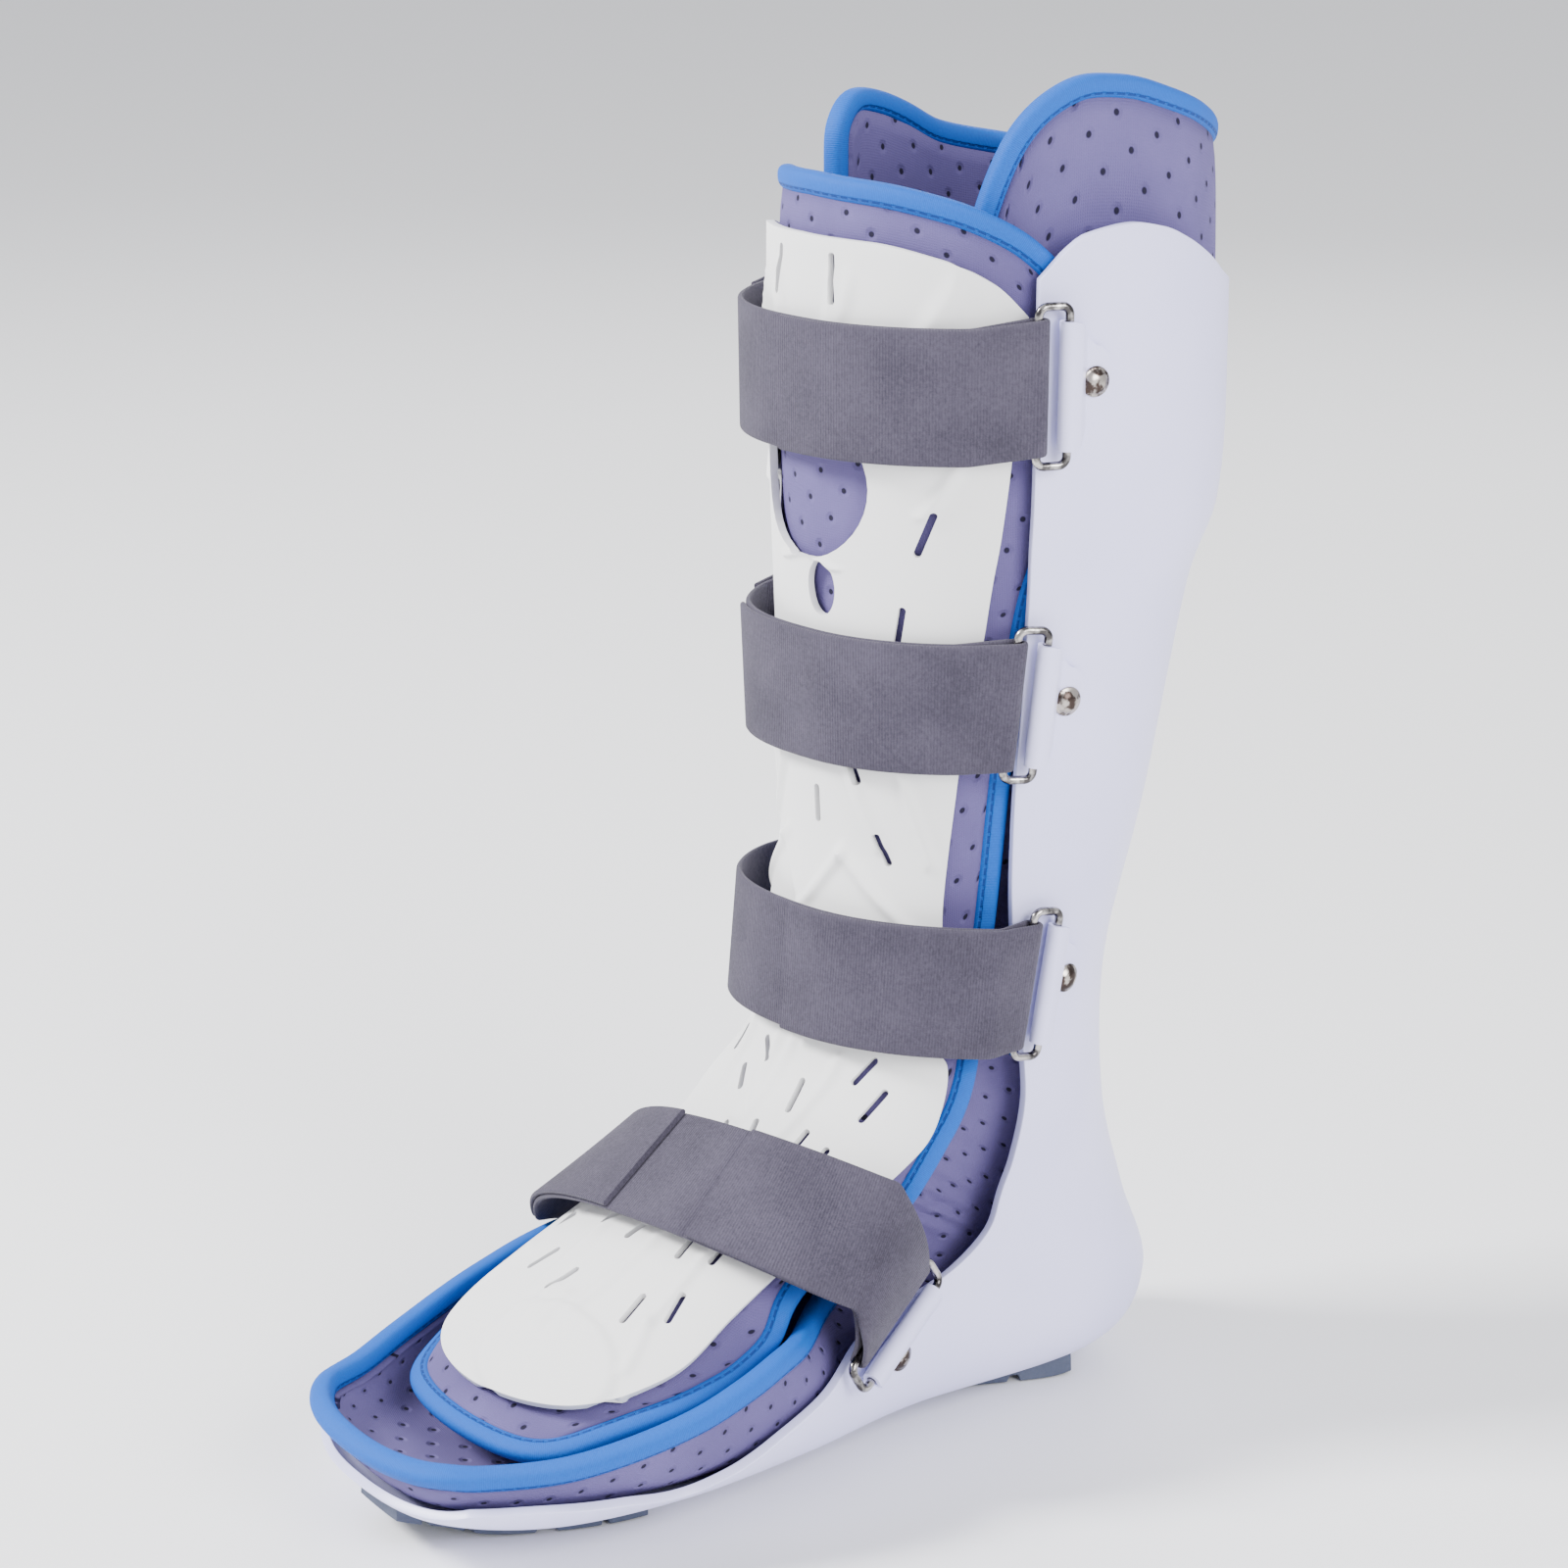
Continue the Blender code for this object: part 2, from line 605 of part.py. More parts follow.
def strap(entry, lid, near, far, group):
    """One strap: a base layer from ring to ring, folded back over itself at both rings."""
    name, far_row, crest_row, near_row, _, _, _, leave, bow, fold_far, fold_near = entry

    def middle(angle):
        share = angle / 60
        return crest_row + share * (near_row - far_row) / 2 + share * share * ((near_row + far_row) / 2 - crest_row)

    angles = np.linspace(leave, -leave, 11)
    plates = lid.bulge(middle(angles), angles, STRAP_WIDTH / 2, lap_lift)
    centre = lid.at(middle(angles), angles, plates + STRAP_GAP + STRAP_THICKNESS / 2)
    normal = lid.normal(middle(angles), angles)
    tangent = unit(np.gradient(centre, axis=0))
    width = unit(np.cross(normal, tangent))
    if np.dot(width[0], near.bar) < 0:
        width = -width
    loop = RING_WIRE / 2 + CLEAR + STRAP_THICKNESS / 2

    def span(anchor, at_lid, to_bar):
        """Stations between the lid and the bar, as centre, width direction and normal."""
        share = np.linspace(0, 1, 4)[1:-1, None]
        end = anchor.strap_bar() - anchor.normal * loop
        mid = centre[at_lid] * (1 - share) + end * share
        wide = unit(width[at_lid] * (1 - share) + anchor.bar * share)
        norm = unit(normal[at_lid] * (1 - share) + anchor.normal * share)
        mid = mid + norm * bow * 4 * share * (1 - share)
        return (mid, wide, norm) if to_bar else (mid[::-1], wide[::-1], norm[::-1])

    def fold(anchor, turn):
        """The half turn round a bar, from under it to over it, with a straight lead at both ends."""
        angle = np.radians(turn)[:, None]
        out = -anchor.normal * np.cos(angle) - anchor.forward * np.sin(angle)
        lead = anchor.forward * RING_WIRE * np.isin(np.arange(len(turn)), (0, len(turn) - 1))[:, None]
        return anchor.strap_bar() + out * loop + lead, np.repeat(anchor.bar[None], len(turn), 0), out

    def back(anchor, at_lid, keep, order):
        """The layer folded back over the base, from the bar to its own end."""
        mid, wide, norm = span(anchor, at_lid, True)
        share = np.linspace(0, 1, 4)[1:-1, None]
        over = STRAP_THICKNESS + CLEAR
        raised = mid + norm * (over * (1 - share) + 2 * loop * share)
        layer = centre[keep] + normal[keep] * over
        parts = (np.concatenate([layer, raised]), np.concatenate([width[keep], wide]),
                 np.concatenate([normal[keep], norm]))
        return parts if order else tuple(part[::-1] for part in parts)

    near_keep = np.where(angles >= fold_near)[0][::-1]
    far_keep = np.where(angles <= fold_far)[0]
    half_turn = np.array([0, 0, 45, 90, 135, 180, 180])
    near_back = back(near, 0, near_keep, True)
    near_fold = fold(near, half_turn[::-1])
    near_span = span(near, 0, False)
    far_span = span(far, -1, True)
    far_fold = fold(far, half_turn)
    far_back = back(far, -1, far_keep, False)
    base = (centre, width, -normal)
    pieces = (near_back, near_fold, (near_span[0], near_span[1], -near_span[2]), base,
              (far_span[0], far_span[1], -far_span[2]), far_fold, far_back)
    mid, wide, out = (np.concatenate([piece[k] for piece in pieces]) for k in range(3))
    half = wide * STRAP_WIDTH / 2
    return strip(name + "_strap", mid - half, mid + half, out, STRAP_THICKNESS, group, "strap_grey")


def ring(name, anchor, group):
    """A rectangular loop of steel wire with cut corners."""
    half_bar = STRAP_WIDTH / 2 + RING_SLACK + RING_CORNER
    half_depth = RING_DEPTH / 2
    corner = RING_CORNER
    outline_points = (
        (half_bar - corner, half_depth), (half_bar, half_depth - corner),
        (half_bar, corner - half_depth), (half_bar - corner, -half_depth),
        (corner - half_bar, -half_depth), (-half_bar, corner - half_depth),
        (-half_bar, half_depth - corner), (corner - half_bar, half_depth),
    )
    curve = bpy.data.curves.new(name, "CURVE")
    curve.dimensions = "3D"
    curve.bevel_depth = RING_WIRE / 2
    curve.bevel_resolution = 1
    spline = curve.splines.new("POLY")
    spline.points.add(len(outline_points) - 1)
    for point, (u, v) in zip(spline.points, outline_points):
        point.co = (*(anchor.centre + anchor.bar * u + anchor.forward * v), 1.0)
    spline.use_cyclic_u = True
    obj = bpy.data.objects.new(name, curve)
    group.objects.link(obj)
    curve.materials.append(material("steel"))
    return obj


def tab(name, anchor, group):
    """A plastic tab folded round the ring's bar, tapered to the rivet."""
    loop = RING_WIRE / 2 + CLEAR + TAB_THICKNESS / 2
    seated = TAB_GAP + TAB_THICKNESS / 2
    half = anchor.bar * TAB_WIDTH / 2
    left, right, out = anchor.seat(TAB_REACH * TAB_UNDER, TAB_WIDTH / 2, seated)
    rows = [(left, right, -out)]
    for turn in np.radians(np.linspace(0, 225, 6)):
        out = -anchor.normal * np.cos(turn) + anchor.forward * np.sin(turn)
        middle = anchor.tab_bar() + out * loop
        rows.append((middle - half, middle + half, out))
    for distance, wide in TAB_TAPER:
        rows.append(anchor.seat(TAB_REACH * distance, TAB_WIDTH / 2 * wide, seated))
    left, right, out = (np.array(column) for column in zip(*rows))
    return strip(name, left, right, out, TAB_THICKNESS, group, "shell_white")


def rivet(name, anchor, group):
    """A domed rivet head, turned from its profile."""
    rows = [anchor.seat(TAB_REACH * distance, TAB_WIDTH / 2 * wide, TAB_GAP + TAB_THICKNESS)
            for distance, wide in TAB_TAPER[:3]]
    before, middle, after = ((left + right) / 2 for left, right, _ in rows)
    normal = unit(np.cross(anchor.bar, before - after))
    normal *= np.sign(np.dot(normal, anchor.normal))
    point = middle + normal * (max(np.dot(before - middle, normal), 0.0) + 2 * CLEAR)
    profile = ((0.0, 1.0), (0.6, 0.8), (1.0, 0.25), (0.96, 0.0), (0.0, 0.0))
    mesh = bpy.data.meshes.new(name)
    points = [(RIVET_RADIUS * r, 0.0, RIVET_HEIGHT * h) for r, h in profile]
    mesh.from_pydata(points, [(i, i + 1) for i in range(len(points) - 1)], [])
    obj = bpy.data.objects.new(name, mesh)
    screw = obj.modifiers.new("Turn", "SCREW")
    screw.steps = 8
    screw.render_steps = 8
    screw.use_merge_vertices = True
    screw.merge_threshold = 0.00005
    z = normal
    x = unit(np.cross(anchor.bar, z))
    y = np.cross(z, x)
    frame = np.eye(4)
    frame[:3, 0], frame[:3, 1], frame[:3, 2], frame[:3, 3] = x, y, z, point
    obj.matrix_world = Matrix(frame.tolist())
    group.objects.link(obj)
    mesh.materials.append(material("steel"))
    return obj


def slot_cutter(name, lid, start, end, half_width, lift, group, sides=6):
    """A prism through a plate: straight sides and round ends between two points of the lid."""
    (station_a, angle_a), (station_b, angle_b) = start, end
    a = lid.at(station_a, angle_a, lift)
    b = lid.at(station_b, angle_b, lift)
    normal = unit(lid.normal((station_a + station_b) / 2, (angle_a + angle_b) / 2))
    along = unit(b - a - normal * np.dot(b - a, normal))
    side = np.cross(normal, along)
    half_length = max(np.linalg.norm(b - a) / 2 - half_width, 0.0)
    bm = bmesh.new()
    bmesh.ops.create_cone(bm, cap_ends=True, segments=sides, radius1=half_width, radius2=half_width,
                          depth=8 * PLATE_WALL)
    for vertex in bm.verts:
        x, y, z = vertex.co
        x += math.copysign(half_length, x) if abs(x) > 1e-9 else 0.0
        vertex.co = (a + b) / 2 + along * x + side * y + normal * z
    mesh = bpy.data.meshes.new(name)
    bm.to_mesh(mesh)
    bm.free()
    obj = bpy.data.objects.new(name, mesh)
    obj.hide_render = True
    obj.display_type = "WIRE"
    group.objects.link(obj)
    return obj


def oval_cutter(name, lid, station, angle, half_height, half_width, lift, group, sides=16):
    """An elliptical prism through a plate."""
    centre = lid.at(station, angle, lift)
    normal = lid.normal(station, angle)
    along, _ = lid.speed(station, angle)
    along = unit(along - normal * np.dot(along, normal))
    side = np.cross(normal, along)
    bm = bmesh.new()
    bmesh.ops.create_cone(bm, cap_ends=True, segments=sides, radius1=1.0, radius2=1.0,
                          depth=16 * PLATE_WALL)
    for vertex in bm.verts:
        x, y, z = vertex.co
        vertex.co = centre + along * x * half_height + side * y * half_width + normal * z
    mesh = bpy.data.meshes.new(name)
    bm.to_mesh(mesh)
    bm.free()
    obj = bpy.data.objects.new(name, mesh)
    obj.hide_render = True
    obj.display_type = "WIRE"
    group.objects.link(obj)
    return obj


def cut(obj, cutters):
    boolean = obj.modifiers.new("Openings", "BOOLEAN")
    boolean.operation = "DIFFERENCE"
    boolean.operand_type = "COLLECTION"
    boolean.collection = cutters
    boolean.solver = "EXACT"


def tread(name, cradle, blocks, half_angle, group):
    """A rubber tread under the shell: flat blocks on the ground, with grooves across."""
    stations, grooves = [], []
    for i, (start, end) in enumerate(blocks):
        if i:
            gap = start - blocks[i - 1][1]
            stations += [blocks[i - 1][1] + gap * 0.2, start - gap * 0.2]
            grooves += [1.0, 1.0]
        stations += [start, end]
        grooves += [0.0, 0.0]
    station = np.array(stations)[:, None]
    angle = np.linspace(-half_angle, half_angle, 7)[None, :]
    upper = cradle.at(station, angle, SHELL_LIFT + SKIN_GAP)
    lower = upper.copy()
    lower[..., 2] -= TREAD_DEPTH
    lower[..., 2] *= lower[..., 2] > TREAD_FILL
    lower[..., 2] += GROOVE_DEPTH * np.array(grooves)[:, None]
    rows, columns = upper.shape[:2]
    sections = np.concatenate([upper, lower[:, ::-1]], axis=1)
    return loft(name, sections.reshape(rows, 2 * columns, 3), False, group, "tread_slate")


def main():
    clear_scene()
    parts = collection("ankle_immobilizer")
    shin_cutters = collection("shin_plate_cutters")
    instep_cutters = collection("instep_plate_cutters")
    cradle = Cradle(leg_rows() + foot_rows(), 1)
    lid = Lid(tongue_rows(), -1)

    rows = ROW_STATIONS + (SHELL_END,)
    grid = patch_grid(cradle, top_by_share(cradle, SHELL_TOP), 4, rows, SHELL_EDGE, level(SHELL_LIFT), 17)
    sheet("rear_shell", cradle, grid, SHELL_WALL, parts, "shell_white")

    rows = ROW_STATIONS + (SHELL_END, LINER_END)
    grid = patch_grid(cradle, top_by_share(cradle, LINER_TOP), 4, rows, LINER_EDGE, liner_lift, 17)
    foam = sheet("rear_liner", cradle, grid, LINER_WALL, parts, "foam_lilac")
    binding("rear_liner_binding", cradle, foam, grid, LINER_WALL, parts)

    rows = np.linspace(1.5, TONGUE_END, 18)
    grid = patch_grid(lid, top_by_share(lid, TONGUE_TOP), 2, rows, TONGUE_EDGE, level(TONGUE_LIFT), 11)
    foam = sheet("tongue_liner", lid, grid, TONGUE_WALL, parts, "foam_lilac")
    binding("tongue_binding", lid, foam, grid, TONGUE_WALL, parts)

    rows = np.linspace(1.4, SHIN_END, 12)
    grid = patch_grid(lid, top_by_share(lid, SHIN_TOP), 2, rows, SHIN_EDGE, lap_lift, 9)
    shin_plate = sheet("shin_plate", lid, grid, PLATE_WALL, parts, "shell_white")
    for i, (station, angle, half_height, half_width) in enumerate(OVALS):
        oval_cutter(f"oval_cut_{i}", lid, station, angle, half_height, half_width, 0.0, shin_cutters)
    for i, (station_a, angle_a, station_b, angle_b) in enumerate(SHIN_SLOTS):
        for side in (1, -1):
            start = (station_a, SHIN_SLOT_MIDDLE + side * (angle_a - SHIN_SLOT_MIDDLE))
            end = (station_b, SHIN_SLOT_MIDDLE + side * (angle_b - SHIN_SLOT_MIDDLE))
            slot_cutter(f"shin_slot_{i}_{side}", lid, start, end, SLOT_WIDTH / 2, 0.0, shin_cutters)
    slot_cutter("shin_slot_middle", lid, SHIN_MIDDLE_SLOT[:2], SHIN_MIDDLE_SLOT[2:], SLOT_WIDTH / 2, 0.0,
                shin_cutters)
    cut(shin_plate, shin_cutters)

    rows = np.linspace(INSTEP_START, INSTEP_END, 14)
    grid = patch_grid(lid, level(INSTEP_START), 0, rows, INSTEP_EDGE, level(PLATE_LIFT), 9)
    instep_plate = sheet("instep_plate", lid, grid, PLATE_WALL, parts, "shell_white")
    for i, (station_a, angle_a, station_b, angle_b) in enumerate(INSTEP_SLOTS):
        slot_cutter(f"instep_slot_{i}", lid, (station_a, angle_a), (station_b, angle_b), SLOT_WIDTH / 2,
                    0.0, instep_cutters)
    cut(instep_plate, instep_cutters)

    for entry in STRAPS:
        name, station, angle, turn = entry[0], *entry[4:7]
        near = Anchor(cradle, station, angle, turn, 1)
        far = Anchor(cradle, station, angle, turn, -1)
        strap(entry, lid, near, far, parts)
        for side, anchor in (("near", near), ("far", far)):
            ring(f"ring_{name}_{side}", anchor, parts)
            tab(f"tab_{name}_{side}", anchor, parts)
            rivet(f"rivet_{name}_{side}", anchor, parts)

    tread("heel_tread", cradle, HEEL_BLOCKS, HEEL_ANGLE, parts)
    tread("forefoot_tread", cradle, FOREFOOT_BLOCKS, FOREFOOT_ANGLE, parts)


main()
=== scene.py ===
"""Ankle immobilizer: the finish of a moulded rear shell, its foam liner and tongue, the two vented
front plates, four loop straps on steel rings, and the rubber treads.

Metres, +Z up, toes to -Y, near side at +X, as in the frame. Nearly every piece is a patch on, or a
band over, one of two surfaces: the cradle behind and below, and the lid in front and above.
"""

import math

import bpy
import numpy as np
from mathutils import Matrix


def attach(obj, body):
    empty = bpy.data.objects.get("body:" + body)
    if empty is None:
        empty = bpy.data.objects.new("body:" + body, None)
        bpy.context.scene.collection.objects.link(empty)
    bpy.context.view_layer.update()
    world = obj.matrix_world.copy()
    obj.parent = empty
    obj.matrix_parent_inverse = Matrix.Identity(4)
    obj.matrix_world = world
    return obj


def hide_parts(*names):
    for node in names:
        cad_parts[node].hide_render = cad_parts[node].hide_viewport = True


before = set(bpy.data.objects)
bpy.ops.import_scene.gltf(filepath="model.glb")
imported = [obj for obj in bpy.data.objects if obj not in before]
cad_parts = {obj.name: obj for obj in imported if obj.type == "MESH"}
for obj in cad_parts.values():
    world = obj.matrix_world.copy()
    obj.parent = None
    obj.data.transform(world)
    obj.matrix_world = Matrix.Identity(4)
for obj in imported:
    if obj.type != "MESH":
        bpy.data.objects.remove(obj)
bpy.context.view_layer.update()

# Rear shell. One moulded sheet of lavender-white polyethylene, 3 mm thick, that cups the calf, the
# heel and the sole. Its rim is trimmed and polished round, and its surface has a faint ripple from
# the mould.

SKIN_GAP = 0.0012
SHELL_WALL = 0.003
TREAD_DEPTH = 0.0035
SHELL_LIFT = SKIN_GAP + SHELL_WALL
SOLE_HEIGHT = TREAD_DEPTH + SKIN_GAP + SHELL_LIFT
LEG_RISE = 0.307
ANKLE_RISE = 0.1095
CALF_DEPTH = 0.141
CALF_WIDTH = 0.114
FOOT_LENGTH = 0.284
FOOT_WIDTH = 0.128

# Sections of the leg, as shares of its depth, rise and width
LEG_SECTIONS = np.array([
    # front   back   height  half width
    (-0.376, 0.596, 1.000, 0.509), (-0.383, 0.617, 0.723, 0.500), (-0.376, 0.610, 0.560, 0.487),
    (-0.365, 0.525, 0.469, 0.474), (-0.355, 0.433, 0.251, 0.412), (-0.369, 0.337, 0.085, 0.382),
])

# Sections of the foot, as shares of its length, the ankle's rise and the foot's width
FOOT_SECTIONS = np.array([
    # front y  front z  back y  back z  half width  squareness  flare
    (-0.201, 1.000, 0.169, 0.788, 0.328, 1.05, 0.0), (-0.236, 0.889, 0.204, 0.450, 0.320, 1.10, 0.0),
    (-0.275, 0.816, 0.236, 0.167, 0.328, 1.20, 0.0), (-0.317, 0.761, 0.158, 0.000, 0.328, 1.40, 0.0),
    (-0.352, 0.706, -0.106, 0.000, 0.359, 1.45, 0.025), (-0.394, 0.669, -0.282, 0.000, 0.450, 1.45, 0.050),
    (-0.475, 0.615, -0.458, 0.000, 0.500, 1.40, 0.030), (-0.563, 0.505, -0.606, 0.012, 0.453, 1.35, 0.015),
    (-0.606, 0.414, -0.715, 0.076, 0.375, 1.25, 0.0), (-0.599, 0.286, -0.764, 0.204, 0.344, 1.15, 0.0),
])
FLARE_ANGLES = (50, 100)

# The shell's trim line: its top by angle, and its side edges by station
SHELL_TOP = (
    (-112, 0.800), (-105, 0.828), (-100, 0.840), (-88, 0.847), (-78, 0.840), (-68, 0.824),
    (-58, 0.804), (-45, 0.778), (-25, 0.760), (0, 0.755), (25, 0.760), (45, 0.778),
    (58, 0.804), (68, 0.824), (78, 0.840), (88, 0.847), (100, 0.840), (105, 0.828), (112, 0.800),
)
SHELL_EDGE = (
    (0.0, 112), (2.0, 112), (3.0, 110), (3.7, 108), (4.2, 105), (5.5, 90), (5.9, 88), (6.6, 91),
    (7.6, 97), (8.5, 99), (9.2, 98), (10.0, 92), (10.55, 86), (11.3, 73), (11.8, 59),
    (12.1, 54), (12.65, 62), (13.25, 65), (14.0, 58), (14.4, 34),
)
SHELL_END = 14.4


def smooth_row(column, station):
    """A column of a table of sections at any station, by a Catmull-Rom cubic through its values."""
    station = np.clip(np.asarray(station, float), 0, len(column) - 1)
    i = np.minimum(station.astype(int), len(column) - 2)
    f = station - i
    ends = np.concatenate([[2 * column[0] - column[1]], column, [2 * column[-1] - column[-2]]])
    a, b, c, d = ends[i], ends[i + 1], ends[i + 2], ends[i + 3]
    return b + 0.5 * f * (c - a + f * (2 * a - 5 * b + 4 * c - d + f * (3 * (b - c) + d - a)))


def trim(table, x):
    """A trim line at x: a cubic through the table's rows that is flat at its local extremes."""
    xs, ys = np.array(table, float).T
    slope = np.diff(ys) / np.diff(xs)
    both = slope[1:] * slope[:-1]
    inner = np.where(both > 0, 2 * both / (slope[1:] + slope[:-1] + 1e-12), 0)
    tangent = np.concatenate([slope[:1], inner, slope[-1:]])
    x = np.clip(np.asarray(x, float), xs[0], xs[-1])
    i = np.clip(np.searchsorted(xs, x, side="right") - 1, 0, len(xs) - 2)
    h = xs[i + 1] - xs[i]
    f = (x - xs[i]) / h
    start = (1 + 2 * f) * (1 - f) ** 2 * ys[i] + f * (1 - f) ** 2 * h * tangent[i]
    return start + f * f * (3 - 2 * f) * ys[i + 1] + f * f * (f - 1) * h * tangent[i + 1]


def ramp(x, start, end):
    """A smooth step: 0 before start, 1 after end and 3 f squared less 2 f cubed between."""
    f = np.clip((np.asarray(x, float) - start) / (end - start), 0, 1)
    return f * f * (3 - 2 * f)


def unit(v):
    return v / np.maximum(np.linalg.norm(v, axis=-1, keepdims=True), 1e-12)


class Skin:
    """A surface through sections: a point is place(the sections' columns at a station, angle).

    The normal is the change of place round the section crossed with the change along the stations,
    turned outward.
    """

    def __init__(self, sections, place, outward):
        self.columns = np.array(sections, float).T
        self.last = len(sections) - 1
        self.place = place
        self.outward = outward

    def point(self, station, angle):
        return self.place([smooth_row(column, station) for column in self.columns], angle)

    def speed(self, station, angle, step=0.02):
        """Changes of place for one station and for one degree, by central differences."""
        station = np.asarray(station, float)
        ahead = np.minimum(station + step, self.last)
        behind = np.maximum(station - step, 0)
        along = (self.point(ahead, angle) - self.point(behind, angle)) / (ahead - behind)[..., None]
        across = self.point(station, np.asarray(angle) + 0.5) - self.point(station, np.asarray(angle) - 0.5)
        return along, across

    def normal(self, station, angle):
        along, across = self.speed(station, angle)
        return unit(np.cross(across, along)) * self.outward

    def at(self, station, angle, lift=0.0):
        station, angle, lift = np.broadcast_arrays(np.asarray(station, float), angle, lift)
        return self.point(station, angle) + self.normal(station, angle) * lift[..., None]

    def bulge(self, station, angle, half, cover):
        """How far a cover on the skin stands above it within half a band's width either way."""
        station, angle = np.broadcast_arrays(np.asarray(station, float), np.asarray(angle, float))
        along, _ = self.speed(station, angle)
        normal = self.normal(station, angle)
        middle = self.point(station, angle)
        reach = half / np.linalg.norm(along, axis=-1)
        beside = np.clip(station + np.linspace(-1.3, 1.3, 9)[:, None] * reach, 0, self.last)
        top = self.at(beside, angle, cover(beside, angle))
        return ((top - middle) * normal).sum(-1).max(axis=0)


def cradle_place(columns, angle):
    """Superellipse sections: angle 0 at the back or sole, 180 at the front, wider where they flare."""
    front_y, front_z, back_y, back_z, half, square, flare = columns
    turn = np.radians(angle)
    s, c = np.sin(turn), np.cos(turn)
    k = (np.abs(s) ** (2 * square) + np.abs(c) ** (2 * square)) ** (-0.5 / square)
    half = half + flare * ramp(np.abs(angle), *FLARE_ANGLES)
    y = (front_y + back_y) / 2 + (back_y - front_y) / 2 * c * k
    z = (front_z + back_z) / 2 + (back_z - front_z) / 2 * c * k
    return np.stack([half * s * k, y, z], -1)


leg_front, leg_back, leg_height, leg_half = LEG_SECTIONS.T
leg_z = SOLE_HEIGHT + ANKLE_RISE + leg_height * LEG_RISE
leg_rows = np.stack([leg_front * CALF_DEPTH, leg_z, leg_back * CALF_DEPTH, leg_z, leg_half * CALF_WIDTH,
                     np.ones(6), np.zeros(6)], 1)
foot_scale = (FOOT_LENGTH, ANKLE_RISE, FOOT_LENGTH, ANKLE_RISE, FOOT_WIDTH, 1.0, FOOT_WIDTH)
foot_rows = FOOT_SECTIONS * foot_scale + (0, SOLE_HEIGHT, 0, SOLE_HEIGHT, 0, 0, 0)
cradle = Skin(np.concatenate([leg_rows, foot_rows]), cradle_place, 1)


def station_at(height):
    """The leg's station whose section lies at a share of the leg's rise above the ankle."""
    stations = np.linspace(0, 5, 201)
    return np.interp(-np.asarray(height), -smooth_row(leg_height, stations), stations)


def top_line(table, mirrored=False):
    """A trimmed top as stations over the share of the way from the middle to an edge."""
    def top(share):
        angle = share * table[-1][0]
        return station_at(trim(table, np.abs(angle) if mirrored else angle))
    return top


def patch(top, end, edge, rows, columns, join=2.0, upper=30, corner=0.0, power=4, root=1):
    """Stations and angles of a patch. Rows share out the way from the top line to a first station and
    go on evenly to the end. The end draws back towards the sides as 1 less the root of 1 less a power
    of the share: a root of 1 leaves a corner there, and power 2 with root 2 makes half an ellipse.
    """
    share = np.linspace(-1, 1, columns)[None, :]
    start = top(share) if callable(top) else top + 0 * share
    first = join if upper else start
    above = start + (first - start) * np.arange(upper)[:, None] / max(upper, 1)
    last = end - corner * (1 - (1 - np.abs(share) ** power) ** (1 / root))
    below = first + (last - first) * np.linspace(0, 1, rows)[:, None]
    station = np.concatenate([above, below])
    return station, share * trim(edge, station)


def lengths(points, axis):
    """Distances run along one direction of a grid of points, in metres."""
    steps = np.linalg.norm(np.diff(points, axis=axis), axis=-1)
    start = np.zeros_like(np.take(steps, [0], axis=axis))
    return np.cumsum(np.concatenate([start, steps], axis=axis), axis=axis)


def cloth_map(points):
    """A flat map of a grid in metres, centred on its middle column."""
    u = lengths(points, 1)
    u = u - u[:, u.shape[1] // 2, None]
    v = lengths(points, 0)[:, points.shape[1] // 2, None] + 0 * u
    return np.stack([u, v], -1)


def surface(name, points, flat=None, wrap=(False, False), caps=False, turn=False):
    """A mesh of quads over a grid of points. The grid closes on itself where it wraps, and its first
    and last rows are filled where it has caps. flat holds a UV pair for each corner of the quads.
    """
    rows, columns = points.shape[:2]
    index = np.arange(rows * columns).reshape(rows, columns)
    if wrap[0]:
        index = np.concatenate([index, index[:1]])
    if wrap[1]:
        index = np.concatenate([index, index[:, :1]], axis=1)
    high, wide = index.shape
    place = np.arange(high * wide).reshape(high, wide)

    def quads(grid):
        made = np.stack([grid[:-1, :-1], grid[:-1, 1:], grid[1:, 1:], grid[1:, :-1]], -1).reshape(-1, 4)
        return made[:, ::-1] if turn else made

    faces = quads(index).tolist()
    if caps:
        first, last = index[0, :columns], index[-1, :columns]
        faces += [first.tolist(), last[::-1].tolist()] if turn else [first[::-1].tolist(), last.tolist()]
    mesh = bpy.data.meshes.new(name)
    mesh.from_pydata(points.reshape(-1, 3).tolist(), [], faces)
    if flat is not None:
        corners = np.zeros((len(mesh.loops), 2))
        picked = flat.reshape(-1, 2)[quads(place).ravel()]
        corners[:len(picked)] = picked
        mesh.uv_layers.new(name="flat").uv.foreach_set("vector", corners.ravel())
    obj = bpy.data.objects.new(name, mesh)
    bpy.context.scene.collection.objects.link(obj)
    return obj


def wall(obj, thickness, rim, even=True):
    """Gives a sheet its thickness inward and rounds its trimmed rim."""
    solid = obj.modifiers.new("Wall", "SOLIDIFY")
    solid.thickness = thickness
    solid.offset = -1
    solid.use_even_offset = even
    bevel = obj.modifiers.new("Rim", "BEVEL")
    bevel.width = rim
    bevel.segments = 3
    bevel.limit_method = "ANGLE"
    bevel.angle_limit = math.radians(50)
    return obj


def dress(obj, finish, slot, *nodes):
    """Gives a new piece its finish and its ride, and hides the CAD nodes that it stands for."""
    obj.data.materials.append(finish)
    obj.data.shade_smooth()
    obj.data.set_sharp_from_angle(angle=math.radians(42))
    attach(obj, "root")
    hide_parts(*nodes)
    return obj


